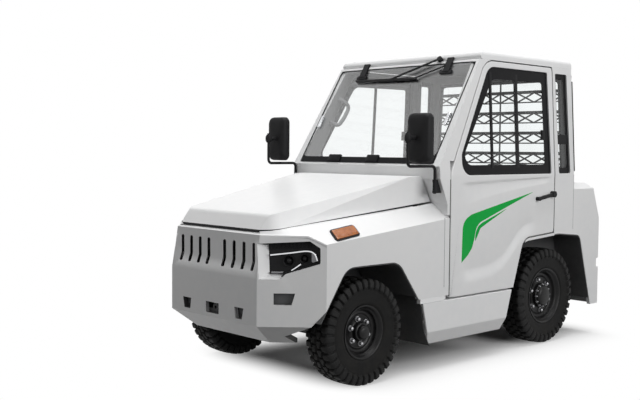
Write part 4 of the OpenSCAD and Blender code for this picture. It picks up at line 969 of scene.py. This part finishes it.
def plate(outline, place, out, thick, radius=0.0, rows=5):
    """A plate with an outline in a plane: its top's rings shrink to the middle, its rim is a short wall."""
    middle = outline.mean(0)
    shrink = [(1.0, out - thick), (1.0, out - radius), (1.0 - radius * 4, out)]
    shrink += [(k, out) for k in np.linspace(0.9, 0.002, rows)]
    points = [place(middle[0] + (outline[:, 0] - middle[0]) * k, middle[1] + (outline[:, 1] - middle[1]) * k,
                    np.full(len(outline), at)) for k, at in shrink]
    return patch(np.stack(points), wrap_columns=True, caps=True)


def strip_on(place, path, half, thick, out):
    """A flat bar with rounded edges along a line in a surface."""
    path = smoothed(path, 40)
    profile = block_profile(half, thick, min(half, thick) * 0.6)
    normal = place(0.0, 0.0, 1.0) - place(0.0, 0.0, 0.0)
    return sweep(profile, place(path[:, 0], path[:, 1], np.full(len(path), out)), normal)


def lamp_cup(at, radius):
    """A round lamp in the headlight: a stepped rim, a bowl, and a dome in its middle."""
    rim = np.array([[1.0, -0.020], [1.0, 0.002], [0.96, 0.005], [0.90, 0.004], [0.86, -0.002], [0.70, -0.012],
                    [0.60, -0.015], [0.56, -0.010], [0.45, -0.003], [0.28, 0.003], [0.01, 0.005]])
    return lathe(rim * (radius, 1), on_facet(at[0], at[1], -0.040), FACET_OUT, 40)


def sheet(corner_grid, thick):
    """A thin closed sheet over a grid of corner points, as thick as it is told below them."""
    top = np.asarray(corner_grid, float)
    return slab(top, top - [0, 0, thick])


def headlights():
    """Headlight insides on both corner facets: white flanks on the inner side and below, a ribbed band on
    top, a chrome strip that bends down at its outer end, a grey reflector there, two round lamps, and a
    chrome and a grey strip low down."""
    k = np.linspace(0, 1, 6)[None]
    flank = on_facet(0.011 + 0.062 * k, np.array([[0.7045], [0.80], [0.913]]), -0.002 - 0.052 * k)
    ledge_along = np.array([[0.012], [0.075], [0.137]]) + np.array([[0.0], [0.0], [0.026]]) * k
    ledge = on_facet(ledge_along, 0.7045 + 0.026 * k, -0.002 - 0.050 * k)
    back = FACET_OUT * 0.004
    flanks = joined(slab(flank, flank - back), slab(ledge, ledge - back))
    piece("lamp_flanks", both(flanks), "chassis", WHITE_PAINT)
    ribs = []
    for d in np.linspace(0.086, 0.315, 30):
        heights = (0.880 + 0.05 * (d - 0.02), 0.906 + 0.06 * (d - 0.02))
        ribs.append(box_on(on_facet, (d, d + 0.004), heights, (-0.056, -0.034), 0.001))
    piece("lamp_ribs", both(joined(*ribs)), "chassis", LAMP_BLACK)
    chrome = strip_on(on_facet, [[0.082, 0.846], [0.20, 0.860], [0.295, 0.874], [0.335, 0.868],
                                 [0.352, 0.845], [0.360, 0.815]], 0.0052, 0.008, -0.040)
    light = strip_on(on_facet, [[0.205, 0.755], [0.232, 0.772], [0.262, 0.794]], 0.0045, 0.005, -0.034)
    piece("lamp_chrome", both(joined(chrome, light)), "chassis", CHROME)
    mirror_corners = np.array([[0.325, 0.800], [0.366, 0.814], [0.350, 0.862], [0.325, 0.862]])
    reflector = plate(rounded(mirror_corners, [0.008] * 4), on_facet, -0.048, 0.008, 0.003)
    sill = strip_on(on_facet, [[0.084, 0.742], [0.120, 0.742], [0.155, 0.744]], 0.006, 0.006, -0.040)
    piece("lamp_reflectors", both(joined(reflector, sill)), "chassis", LAMP_GREY)
    cups = joined(lamp_cup((0.190, 0.812), 0.034), lamp_cup((0.284, 0.826), 0.028))
    piece("lamp_cups", both(cups), "chassis", LAMP_BLACK)


def nose_backing():
    """What shows through the nose's openings: a dark screen behind the grille, dark plates in the
    pockets, and a grey block in the middle one."""
    grille = box_on(on_nose, (-0.42, 0.42), (0.715, 0.945), (-0.130, -0.120), 0.004)
    piece("nose_screens", grille, "chassis", LAMP_BLACK)
    pockets = [box_on(on_nose, (0.20, 0.36), (0.425, 0.535), (-0.048, -0.036), 0.004),
               box_on(on_facet, (0.07, 0.26), (0.53, 0.64), (-0.056, -0.040), 0.004)]
    middle = box_on(on_nose, (-0.10, 0.10), (0.425, 0.535), (-0.095, -0.085), 0.004)
    piece("pocket_plates", joined(both(joined(*pockets)), middle), "chassis", BATTERY_CASE)
    pocket = box_on(on_nose, (-0.066, 0.066), (0.447, 0.512), (-0.080, -0.066), 0.004)
    piece("towing_pocket", pocket, "chassis", GREY_PLASTIC)


def hood_surround():
    """Round the hood: the corner caps that carry the fenders' shoulders on to the corner facets, and a black
    seal under the hood's lower edge."""
    edge = nose_lean(np.array([[1.7225, 0.4628, 0.966], [1.645, 0.540, 0.966], [1.585, 0.600, 0.966],
                               [1.5227, 0.6606, 0.966], [1.4465, 0.736, 0.9165]]))
    shoulder = np.array([[1.690, 0.405, 0.984], [1.640, 0.487, 0.994], [1.540, 0.540, 1.005],
                         [1.4165, 0.6055, 1.0192], [1.4165, 0.7362, 0.9188]])
    under = np.array([[1.672, 0.375, 0.988], [1.610, 0.470, 1.001], [1.520, 0.485, 1.009],
                      [1.4165, 0.495, 1.0190], [1.4165, 0.6055, 1.0192]])
    roll = ((0.001, -0.012), (0.001, -0.005), (-0.001, -0.001), (-0.006, 0.002))
    rolled = [edge + FACET_OUT * out + [0, 0, up] for out, up in roll]
    across = np.linspace(0, 1, 5)[1:]
    rows = rolled + [rolled[-1] * (1 - k) + shoulder * k for k in across]
    cap = sheet(np.stack(rows), 0.004)
    flat = sheet(np.stack([shoulder, under]), 0.004)
    piece("corner_caps", both(joined(cap, flat)), "chassis", WHITE_PAINT, smooth=30)
    plan = rounded([[0.46, 0.580], [1.632, 0.478], [1.678, 0.388], [1.678, -0.388], [1.632, -0.478],
                    [0.46, -0.580]], [0, 0.05, 0.03, 0.03, 0.05, 0], 8)
    height = hood_edge(plan[:, 0]) - 0.0085 - hood_fall(plan[:, 0])
    path = np.concatenate([plan, height[:, None]], 1)
    seal = sweep(block_profile(0.010, 0.008, 0.003), path, (0, 0, 1))
    piece("hood_seal", seal, "chassis", BLACK_TRIM)


def standing_strip(x, low_z, high_z, wide, proud):
    """A thin strip on the left side from one height to another, its lines following the side's own plane."""
    z = np.linspace(low_z, high_z, 24)
    top = np.stack([np.stack([np.full(24, x + k), side_y(z) + proud, z], -1)
                    for k in (-wide / 2, wide / 2)], 1)
    return slab(top, top - [0, 0.003, 0])


def seams():
    """Lines and plates round the doors: a black strip along each door's front edge, painted shade of the gap
    there, thin grey strips painted as the shade of the joints behind the fender and behind the cab, the
    fender's foot above the sill, and the splash plate behind each front wheel."""
    # A black strip on the side's plane along each door's front edge: painted shade of the door's gap
    gap_shade_strip = standing_strip(0.2995, 0.492, 1.285, 0.0075, 0.0006)
    piece("door_gap_shade", both(gap_shade_strip), "chassis", BLACK_TRIM)
    # Thin grey strips painted as the shade of the panel joints behind the fender and behind the cab
    joints = [standing_strip(0.354, 0.56, 1.026, 0.004, 0.0006),
              standing_strip(-1.2275, 0.87, 1.30, 0.004, 0.0006)]
    piece("joint_shade_lines", both(joined(*joints)), "chassis", GREY_PLASTIC)
    front = np.array([[0.600, 0.600], [0.5790, 0.470], [0.5750, 0.450], [0.5395, 0.272], [0.498, 0.200],
                      [0.487, 0.178]])
    y = np.linspace(0.31, 0.722, 6)
    face = np.stack([np.stack([np.full(6, x), y, np.full(6, z)], -1) for x, z in front])
    piece("splash_plates", both(slab(face, face - [0.005, 0, 0])), "chassis", LINER_PLASTIC)
    foot = np.array([[0.500, 0.7365], [0.484, 0.7385], [0.474, 0.7400], [0.4705, 0.7405]])
    x = np.linspace(0.352, 0.600, 6)
    ledge = np.stack([np.stack([x - max(0.0, z - 0.474) * 0.2, np.full(6, y), np.full(6, z)], -1)
                      for z, y in foot])
    piece("fender_feet", both(slab(ledge, ledge - [0, 0.030, 0])), "chassis", WHITE_PAINT)


# The left fender's shoulder: its tilt along the vehicle, its slope across, a corner of it, and its own axes
SHOULDER_TILT, SHOULDER_ANGLE = math.radians(5.4), math.atan2(0.100, 0.131)
SHOULDER_AT = np.array([FRONT_AXLE_X - 0.711, HALF_W, 1.017])
SHOULDER_TURN = np.array([[math.cos(SHOULDER_TILT), 0, math.sin(SHOULDER_TILT)], [0, 1, 0],
                          [-math.sin(SHOULDER_TILT), 0, math.cos(SHOULDER_TILT)]])
SHOULDER_SLOPE = np.array([[1, 0, 0], [0, -math.cos(SHOULDER_ANGLE), math.sin(SHOULDER_ANGLE)],
                           [0, math.sin(SHOULDER_ANGLE), math.cos(SHOULDER_ANGLE)]])
SHOULDER_AXES = (SHOULDER_TURN @ SHOULDER_SLOPE.T).T


def on_shoulder(u, v, out):
    """A place on the left fender's shoulder: along the crease, up the slope, out of it."""
    return SHOULDER_AT + np.stack(np.broadcast_arrays(u, v, out), -1) @ SHOULDER_AXES


def marker_trim():
    """Dark rims round the amber markers and ribs across them."""
    corners = np.array([[0.791, 0.027], [0.984, 0.017], [0.971, 0.095], [0.780, 0.102]])
    outline = rounded(corners, [0.008] * 4, 8)
    grown = outline - left_of(outline) * 0.010
    rim = band(grown, outline + left_of(outline) * 0.001, on_shoulder, 0.007)
    piece("marker_rims", both(rim), "chassis", BLACK_TRIM)
    ribs = []
    for k in np.linspace(0.06, 0.94, 22):
        foot = corners[0] * (1 - k) + corners[1] * k + [0, 0.008]
        top = corners[3] * (1 - k) + corners[2] * k - [0, 0.008]
        ribs.append(strip_on(on_shoulder, [foot, top], 0.0022, 0.0016, 0.0142))
    piece("marker_ribs", both(joined(*ribs)), "chassis", AMBER_LENS)


# Mirrors

def mirrors():
    """Mirrors on both sides: a clamp on the cowl, a bent tube, a ball joint, a domed housing and glass."""
    arm_y = HALF_W - 0.036
    head_y = arm_y + 0.010
    base_x, arm_x, arm_z, head_x, head_z = 0.4225, 0.6975, 1.375, 0.5585, 1.560
    bends = [[base_x, 1.190], [base_x, arm_z], [arm_x, arm_z], [arm_x, 1.600], [arm_x + 0.001, 1.19]]
    path = rounded(bends, [0, 0.03, 0.03, 0, 0], 10)[:-1]
    path = np.stack([path[:, 0], np.full(len(path), arm_y), path[:, 1]], -1)
    tube = sweep(ring(0.010, 14), path, (0, 1, 0))
    outline = block_profile(0.094, 0.164, 0.040, 10)

    def head(rows):
        """The head's outline, shrunk by each row's share and set ahead of the glass by its distance."""
        rings = [np.stack([np.full(len(outline), head_x + ahead), head_y + outline[:, 0] * share,
                           head_z + outline[:, 1] * share], -1) for share, ahead in rows]
        return patch(np.stack(rings), wrap_columns=True, caps=True)

    housing = head([(0.90, -0.001), (0.97, 0.0), (1.0, 0.006), (1.0, 0.030), (0.97, 0.048), (0.90, 0.058),
                    (0.75, 0.065), (0.5, 0.069), (0.02, 0.070)])
    ball = lathe([[0.001, -0.034], [0.014, -0.030], [0.022, -0.018], [0.024, 0.0], [0.022, 0.018],
                  [0.014, 0.030], [0.001, 0.034]], (arm_x, arm_y, head_z), (0, 0, 1), 24)
    neck_path = [[x, arm_y, head_z] for x in (head_x + 0.06, arm_x - 0.03, arm_x)]
    neck = sweep(ring(0.014, 14), neck_path, (0, 1, 0))
    clamp = [lathe([[0.001, z0], [r, z0], [r, z1], [0.001, z1]], (base_x, arm_y, 0), (0, 0, 1), 20)
             for r, z0, z1 in ((0.016, 1.195, 1.212), (0.013, 1.212, 1.268), (0.016, 1.268, 1.285))]
    corners = np.array([[[0.335, 1.195], [0.375, 1.285]], [[base_x, 1.195], [base_x, 1.285]]])
    outer, inner = [np.stack([corners[..., 0], np.full((2, 2), y), corners[..., 1]], -1)
                    for y in (head_y, arm_y - 0.018)]
    body = joined(tube, housing, ball, neck, *clamp, slab(outer, inner))
    piece("mirror_heads", both(body), "chassis", BLACK_TRIM, ["mirrors"])
    face = head([(0.88, 0.0), (0.88, -0.002), (0.4, -0.002), (0.01, -0.002)])
    piece("mirror_glass", both(face), "chassis", MIRROR_GLASS)


# Tyres and rims

LUGS = 36
STEPS_PER_LUG = 16
LUG_DEPTH = 0.014
# As shares of half the tread: where the shoulder lugs start, and how far the grooves there swing
SHOULDER_FROM, GROOVE_SWING = 0.44, 0.06


def zigzag(phase):
    """A triangle wave between -1 and 1 with one period per unit of phase."""
    return 4 * np.abs(phase - np.floor(phase + 0.5)) - 1


def groove(phase, width):
    """1 inside a groove of that share of each period, 0 outside, with short sloping walls."""
    distance = np.abs(phase - np.round(phase))
    return np.clip((width / 2 - distance) / 0.06 + 0.5, 0, 1)


def tyre_section(outer, half, rim):
    """The section of the carcass from bead to bead, as (offset along the axle, radius)."""
    wall = outer - rim
    side = np.array([[0.80, rim - 0.010], [0.84, rim + 0.004], [0.90, rim + 0.012], [0.93, rim + 0.10 * wall],
                     [0.985, rim + 0.32 * wall], [1.0, rim + 0.50 * wall], [0.995, rim + 0.62 * wall],
                     [0.965, outer - 0.040], [0.93, outer - 0.026], [0.88, outer - LUG_DEPTH - 0.004]])
    k = np.linspace(0, len(side) - 1, 34)
    smooth = np.stack([np.interp(k, np.arange(len(side)), side[:, i]) for i in (0, 1)], -1)
    kernel = np.array([0.25, 0.5, 0.25])
    for _ in range(2):
        smooth[1:-1] = sum(w * smooth[i:len(smooth) - 2 + i] for i, w in enumerate(kernel))
    across = np.linspace(0.86, -0.86, 44)
    tread = np.stack([across, outer - LUG_DEPTH - 0.004 * (across / 0.86) ** 2], -1)
    section = np.concatenate([smooth, tread, smooth[::-1] * (-1, 1)])
    section[:, 0] *= half
    return section


def tyre(name, node, body, centre, outer, half, rim, way):
    """A tyre turned about its axle: each point of the section is raised along its normal by the tread at its
    angle. Shoulder lugs stand between straight cross grooves, two zigzag grooves part them from the middle
    blocks, and those are cut across and parted by a slit round the middle. Thin rings run round the side
    walls."""
    section = tyre_section(outer, half, rim)
    along = np.gradient(section, axis=0)
    normal = np.stack([along[:, 1], -along[:, 0]], -1)
    normal /= np.linalg.norm(normal, axis=1, keepdims=True)
    across = section[:, 0] / half
    turns = np.linspace(0, LUGS, LUGS * STEPS_PER_LUG, endpoint=False)[:, None]
    w = across[None]
    wave = GROOVE_SWING * zigzag(turns)
    is_shoulder = np.abs(w) > SHOULDER_FROM + wave
    shoulder_cut = groove(turns + 0.5 + 0.12 * np.sign(w), 0.34)
    middle_cut = np.maximum(groove(turns + 0.25 * np.sign(w), 0.20), groove((w + wave * 0.6) / 1.2, 0.09))
    long_cut = np.clip((0.05 - np.abs(np.abs(w) - SHOULDER_FROM - wave)) / 0.02 + 0.5, 0, 1)
    cut = np.maximum(np.where(is_shoulder, shoulder_cut, middle_cut), long_cut)
    reach = ramp(section[None, :, 1], outer - 0.072, 0.010)
    rings = 0.0018 * sum(np.exp(-((section[:, 1] - rim - share * (outer - rim)) / 0.0022) ** 2)
                         for share in (0.13, 0.42, 0.52))
    lift = LUG_DEPTH * (1 - cut) * reach + rings[None]
    raised = section[None] + lift[..., None] * normal[None]
    angle = turns / LUGS * 2 * np.pi
    points = np.stack([centre[0] + raised[..., 1] * np.cos(angle), centre[1] + way * raised[..., 0],
                       centre[2] + raised[..., 1] * np.sin(angle)], -1)
    made = piece(name, patch(points, wrap_rows=True), body, RUBBER, [node], smooth=50)
    offset = points_of(made.data) - centre
    far, beside = np.hypot(offset[:, 0], offset[:, 2]), np.abs(offset[:, 1]) / half
    # The attribute for the lighter tone: it rises towards the tread's edge and towards both sides, all round
    # the tyre
    lighter_shoulder = made.data.attributes.new("lighter_shoulder", "FLOAT", "POINT")
    lighter_shoulder.data.foreach_set("value", eased((far - outer + 0.062) / 0.012) * eased((beside - 0.80) / 0.08))
    return made


def nut_shape(radius, height, washer):
    """A hexagon nut with a domed end on a round washer: rings of points from the seat out."""
    angle = np.linspace(0, 2 * np.pi, 24, endpoint=False)
    flat = math.cos(math.pi / 6) / np.cos((angle % (math.pi / 3)) - math.pi / 6)
    rows = [(washer, -0.004, 0), (washer, 0.003, 0), (radius, 0.003, 1), (radius, height, 1),
            (radius * 0.86, height + 0.002, 0), (radius * 0.5, height + 0.006, 0),
            (0.0005, height + 0.007, 0)]
    points = []
    for r, z, hexagon in rows:
        reach = r * flat if hexagon else np.full(24, r)
        points.append(np.stack([reach * np.cos(angle), reach * np.sin(angle), np.full(24, z)], -1))
    return patch(np.stack(points), wrap_columns=True)


def bolt_circle(centre, axis, radius, count, start=0.0):
    """Places round a circle about an axis along Y."""
    angle = start + np.linspace(0, 2 * np.pi, count, endpoint=False)
    return [turned((centre[0] + radius * math.cos(a), centre[1], centre[2] + radius * math.sin(a)),
                   (math.cos(a), 0, math.sin(a)), axis) for a in angle]


def rim_profile(rim, width, dish, cap):
    """A rim's section as (radius, offset along the axle): the stepped disc, the flange, and back inside."""
    face = [(cap + 0.012, dish + 0.020), (cap + 0.013, dish + 0.004), (cap + 0.017, dish + 0.001),
            (cap + 0.052, dish), (cap + 0.056, dish + 0.004), (cap + 0.061, dish + 0.004),
            (cap + 0.065, dish - 0.002), (rim - 0.046, dish - 0.005), (rim - 0.040, dish - 0.001),
            (rim - 0.033, dish + 0.008), (rim - 0.030, dish + 0.020), (rim - 0.028, 0.28 * width),
            (rim - 0.024, 0.32 * width), (rim - 0.020, 0.33 * width), (rim - 0.018, 0.37 * width),
            (rim - 0.012, 0.40 * width), (rim - 0.009, 0.435 * width), (rim - 0.003, 0.450 * width),
            (rim + 0.001, 0.448 * width), (rim + 0.001, 0.43 * width), (rim - 0.011, 0.40 * width),
            (rim - 0.012, -0.40 * width), (rim - 0.026, -0.40 * width), (rim - 0.045, dish - 0.024),
            (cap + 0.014, dish - 0.016), (cap + 0.014, -0.012), (0.030, -0.012)]
    return np.array(face)


def cap_profile(cap, dish):
    """A hub cap as (radius, offset): a step at its foot and a dome."""
    return np.array([(cap + 0.012, dish + 0.002), (cap + 0.012, dish + 0.030), (cap + 0.010, dish + 0.034),
                     (cap + 0.002, dish + 0.036), (cap, dish + 0.042), (cap * 0.96, dish + 0.052),
                     (cap * 0.86, dish + 0.060), (cap * 0.66, dish + 0.065), (cap * 0.4, dish + 0.0675),
                     (0.0005, dish + 0.068)])


# Each end's rim: depth of the disc, radius of the hub cap, the nuts' circle, and the count of small bolts
RIMS = {"front": (0.034, 0.046, 0.080, 0), "rear": (0.030, 0.078, 0.122, 12)}
# Radius, height and washer's radius of the wheel nuts and of the small bolts
WHEEL_NUT, HUB_BOLT = (0.0135, 0.020, 0.018), (0.007, 0.009, 0.009)
NUT_COUNT, NUT_START = 6, 0.35


def wheels():
    """Tyres with tread, stepped rims, hub caps, nuts, and the small bolts of the rear hubs."""
    for end in ("front", "rear"):
        dish, cap, circle, bolts = RIMS[end]
        for side, way in (("left", 1), ("right", -1)):
            body, axis = f"{end}_{side}_wheel", (0, way, 0)
            tyre_node, rim_node = f"{end}_{side}_tyre", f"{end}_{side}_rim"
            centre = JOINT_AT[f"{end}_{side}_spin"]
            outer = high(tyre_node)[2] - centre[2]
            width = high(tyre_node)[1] - low(tyre_node)[1]
            rim = high(rim_node)[2] - centre[2] + 0.008
            tyre(f"{end}_{side}_tread", tyre_node, body, centre, outer, width / 2, rim, way)
            disc = lathe(rim_profile(rim, width, dish, cap), centre, axis, 96)
            dome = lathe(cap_profile(cap, dish), centre, axis, 72)
            piece(f"{end}_{side}_disc", joined(disc, dome), body, RIM_PAINT, [rim_node],
                  smooth=50, outwards=False)
            seat = centre + np.array([0, way * (dish + 0.001), 0])
            parts = [copies(nut_shape(*WHEEL_NUT), bolt_circle(seat, axis, circle, NUT_COUNT, NUT_START))]
            if bolts:
                ledge = centre + np.array([0, way * (dish + 0.034), 0])
                parts.append(copies(nut_shape(*HUB_BOLT), bolt_circle(ledge, axis, cap + 0.006, bolts)))
            piece(f"{end}_{side}_nuts", joined(*parts), body, BOLT_STEEL)


# Seat

VOXEL, PRESSURE, CLOTH_STEPS = 0.006, 4.0, 20
PAD_TRAVEL = 0.022
# Where the bolsters of cushion and back start, as shares of half the width, and how deep the seams lie
CUSHION_BOLSTER, BACK_BOLSTER, SEAM_DEEP = 0.62, 0.6, 0.010


def box_grid(lows, highs, count):
    """A closed box of evenly spread points: rows round its four sides, and shrinking rows at both ends."""
    corners = np.array([[lows[0], lows[1]], [highs[0], lows[1]], [highs[0], highs[1]], [lows[0], highs[1]]])
    outline = resampled(rounded(corners, [0.03] * 4, 6), count, closed=True)
    middle = outline.mean(0)
    rows = [(k, lows[2]) for k in np.linspace(0.02, 1, 8)]
    rows += [(1.0, z) for z in np.linspace(lows[2], highs[2], 8)[1:-1]]
    rows += [(k, highs[2]) for k in np.linspace(1, 0.02, 8)]
    rings = [np.concatenate([middle + (outline - middle) * k, np.full((count, 1), z)], 1) for k, z in rows]
    return patch(np.stack(rings), wrap_columns=True, caps=True)


def padded_piece(name, shape, node, cap, channels):
    """A stuffed pad: the shape is remeshed, swollen by cloth pressure, held to a cap on each point's travel,
    pressed in along its sewn channels and smoothed once."""
    made = piece(name, shape, "chassis", SEAT_CLOTH, [node])
    bpy.context.view_layer.objects.active = made
    fine = made.modifiers.new("voxels", "REMESH")
    fine.mode, fine.voxel_size = "VOXEL", VOXEL
    settle(made)
    start = points_of(made.data)
    cloth = made.modifiers.new("swell", "CLOTH")
    cloth.settings.use_pressure = True
    cloth.settings.uniform_pressure_force = PRESSURE
    cloth.settings.effector_weights.gravity = 0.0
    for step in range(1, CLOTH_STEPS + 1):
        bpy.context.scene.frame_set(step)
    settle(made)
    bpy.context.scene.frame_set(1)
    moved = points_of(made.data)
    travel = moved - start
    length = np.maximum(np.linalg.norm(travel, axis=1, keepdims=True), 1e-9)
    held = start + travel * np.minimum(1, cap / length)
    made.data.vertices.foreach_set("co", channels(held).reshape(-1))
    made.data.update()
    made.data.shade_smooth()
    made.data.materials.clear()
    made.data.materials.append(SEAT_CLOTH)
    finer = made.modifiers.new("smooth", "SUBSURF")
    finer.levels = finer.render_levels = 1


def settle(made):
    """The result of a piece's modifiers becomes its mesh, and the modifiers go."""
    graph = bpy.context.evaluated_depsgraph_get()
    mesh = bpy.data.meshes.new_from_object(made.evaluated_get(graph))
    made.modifiers.clear()
    made.data = mesh


def seat():
    """The driver's cushion and back with bolsters and sewn channels; the back's top dips in its middle."""
    pad_low = low("seat_cushion") + [0.016, 0.016, 0.002]
    pad_high = high("seat_cushion") - [0.016, 0.016, 0.020]
    middle_y, half = (pad_low[1] + pad_high[1]) / 2, (pad_high[1] - pad_low[1]) / 2

    def cushion_channels(points):
        """The cushion's points with its bolsters raised and its long and cross seams pressed in."""
        across = np.abs(points[:, 1] - middle_y) / half
        top = eased((points[:, 2] - pad_low[2] - 0.04) / 0.05)
        sewn = np.exp(-((across - CUSHION_BOLSTER) * half / 0.007) ** 2)
        for k in (0.25, 0.5, 0.75):
            x = pad_low[0] + k * (pad_high[0] - pad_low[0])
            sewn = np.maximum(sewn, np.exp(-((points[:, 0] - x) / 0.006) ** 2) * (across < CUSHION_BOLSTER))
        points = points.copy()
        points[:, 2] += top * (0.010 * eased((across - CUSHION_BOLSTER) / 0.2) - SEAM_DEEP * sewn)
        return points

    padded_piece("seat_pad", box_grid(pad_low, pad_high, 120), "seat_cushion", PAD_TRAVEL, cushion_channels)
    back_low, back_high = low("seat_back"), high("seat_back")
    thick = 0.075
    lean = (back_high[0] - back_low[0] - 0.095) / (back_high[2] - back_low[2])
    upright_low = np.array([back_low[0] + 0.012, back_low[1] + 0.014, back_low[2] + 0.012])
    upright_high = np.array([back_low[0] + 0.012 + thick, back_high[1] - 0.014, back_high[2] - 0.016])
    points, faces = box_grid(upright_low[[2, 1, 0]], upright_high[[2, 1, 0]], 140)
    points = points[:, [2, 1, 0]]
    points[:, 0] += (back_high[2] - points[:, 2]) * lean

    def back_channels(points):
        """The back's points: bolsters raised, seams pressed in, and the top lowered in the middle."""
        across = np.abs(points[:, 1] - (back_low[1] + back_high[1]) / 2) / half
        height = (points[:, 2] - back_low[2]) / (back_high[2] - back_low[2])
        front = eased((points[:, 0] - back_low[0] - (back_high[2] - points[:, 2]) * lean - 0.055) / 0.03)
        sewn = np.exp(-((across - BACK_BOLSTER) * half / 0.007) ** 2)
        for k in (0.3, 0.48, 0.66):
            sewn = np.maximum(sewn, np.exp(-((height - k) / 0.011) ** 2) * (across < BACK_BOLSTER))
        points = points.copy()
        points[:, 0] += front * (0.010 * eased((across - BACK_BOLSTER) / 0.2) - SEAM_DEEP * sewn)
        points[:, 2] -= 0.030 * np.exp(-(across / 0.22) ** 2) * eased((height - 0.8) / 0.2)
        return points

    shape = (points, [face[::-1] for face in faces])
    padded_piece("seat_backrest", shape, "seat_back", PAD_TRAVEL, back_channels)


# Studio

# The floor's tone as the camera sees it and as it lights the vehicle, and the surround's strength as a light
FLOOR_SEEN, FLOOR_FELT = 0.95, 0.34
SURROUND_LEVEL = 0.17
# Lamps: name, place, where they aim, size and power
LAMPS = [("overhead", (0.0, 0.0, 10.0), (0.0, 0.0, 0.0), (8.0, 8.0), 850),
         ("driver_side", (0.0, 7.0, 3.0), (0.0, 0.0, 1.0), (5.0, 3.0), 255),
         ("ahead", (7.5, 0.5, 3.0), (0.0, 0.0, 1.0), (5.0, 3.0), 45)]
# The floor fades to white away from a rectangle under the vehicle: middle, half sizes and stretch
FOOTPRINT_AT, FOOTPRINT, FOOTPRINT_STRETCH = (-0.25, 0.0, 0.0), (1.22, 0.38, 0.0), (1.7, 1.0, 1.0)
FADE_START, FADE_END = 0.0, 0.72


def seen_directly(tree):
    """1 for rays from the camera, and for those off gloss and through glass."""
    path = add(tree, "ShaderNodeLightPath").outputs
    seen = path["Is Camera Ray"]
    for ray in ("Is Glossy Ray", "Is Transmission Ray"):
        seen = add(tree, "ShaderNodeMath", {0: seen, 1: path[ray]}, operation="MAXIMUM").outputs[0]
    return seen


def studio():
    """A pale floor that fades to a white surround, a broad lamp overhead, a softer one on the driver's side
    and a weak one ahead."""
    scene = bpy.context.scene
    scene.view_settings.view_transform = "Standard"
    reach = 40.0
    floor = bpy.data.meshes.new("floor")
    corners = [(-reach, -reach, 0), (reach, -reach, 0), (reach, reach, 0), (-reach, reach, 0)]
    floor.from_pydata(corners, [], [(0, 1, 2, 3)])
    ground = bpy.data.objects.new("floor", floor)
    scene.collection.objects.link(ground)
    pale = bpy.data.materials.new("pale_floor")
    pale.use_nodes = True
    tree = pale.node_tree
    tree.nodes.remove(tree.nodes["Principled BSDF"])
    seen = seen_directly(tree)
    tone = add(tree, "ShaderNodeMapRange", {"Value": seen, "To Min": FLOOR_FELT,
                                            "To Max": FLOOR_SEEN}).outputs[0]
    near = add(tree, "ShaderNodeBsdfDiffuse", {"Color": tone}).outputs[0]
    far = add(tree, "ShaderNodeEmission", {"Color": (1, 1, 1, 1), "Strength": seen}).outputs[0]
    beyond = add(tree, "ShaderNodeTexCoord").outputs["Object"]
    for operation, value in (("SUBTRACT", FOOTPRINT_AT), ("ABSOLUTE", (0, 0, 0)), ("SUBTRACT", FOOTPRINT),
                             ("MAXIMUM", (0, 0, 0)), ("MULTIPLY", FOOTPRINT_STRETCH)):
        beyond = add(tree, "ShaderNodeVectorMath", {0: beyond, 1: value},
                     operation=operation).outputs["Vector"]
    distance = add(tree, "ShaderNodeVectorMath", {0: beyond}, operation="LENGTH").outputs["Value"]
    fade = add(tree, "ShaderNodeMapRange", {"Value": distance, "From Min": FADE_START, "From Max": FADE_END},
               interpolation_type="SMOOTHSTEP").outputs[0]
    mixed = add(tree, "ShaderNodeMixShader", {0: fade, 1: near, 2: far}).outputs[0]
    tree.links.new(mixed, tree.nodes["Material Output"].inputs["Surface"])
    floor.materials.append(pale)
    world = bpy.data.worlds.new("surround")
    scene.world = world
    world.use_nodes = True
    tree = world.node_tree
    seen = seen_directly(tree)
    level = add(tree, "ShaderNodeMapRange", {"Value": seen, "To Min": SURROUND_LEVEL,
                                             "To Max": 1.0}).outputs[0]
    tree.links.new(level, tree.nodes["Background"].inputs["Strength"])
    tree.nodes["Background"].inputs["Color"].default_value = (1, 1, 1, 1)
    for name, at, aim, size, power in LAMPS:
        light = bpy.data.lights.new(name, "AREA")
        light.shape = "RECTANGLE"
        light.size, light.size_y = size
        light.energy = power
        lamp = bpy.data.objects.new(name, light)
        lamp.location = at
        lamp.rotation_euler = (Vector(aim) - Vector(at)).to_track_quat("-Z", "Y").to_euler()
        scene.collection.objects.link(lamp)


def camera():
    """The photograph's camera: its yaw, pitch and roll, its focal length and its shifted centre."""
    yaw, pitch, roll = map(math.radians, (CAMERA_YAW, CAMERA_PITCH, CAMERA_ROLL))
    ahead = Vector((-math.cos(yaw) * math.cos(pitch), -math.sin(yaw) * math.cos(pitch), -math.sin(pitch)))
    right = ahead.cross(Vector((0, 0, 1))).normalized()
    above = right.cross(ahead)
    level = right * math.cos(roll) + above * math.sin(roll)
    upright_axis = above * math.cos(roll) - right * math.sin(roll)
    data = bpy.data.cameras.new("camera")
    data.sensor_width = SENSOR_MM
    data.lens = FOCAL_PX / IMAGE_W * SENSOR_MM
    data.shift_x, data.shift_y = -SHIFT_PX[0] / IMAGE_W, SHIFT_PX[1] / IMAGE_W
    eye = bpy.data.objects.new("camera", data)
    eye.matrix_world = Matrix((level, upright_axis, -ahead)).transposed().to_4x4()
    eye.location = CAMERA_AT
    bpy.context.scene.collection.objects.link(eye)
    bpy.context.scene.camera = eye


camera()
studio()
paint_frame_nodes()
body_panels()
doors()
windscreen_trim()
rear_windows()
grab_handle()
guard()
headlights()
nose_backing()
hood_surround()
seams()
marker_trim()
mirrors()
wheels()
seat()
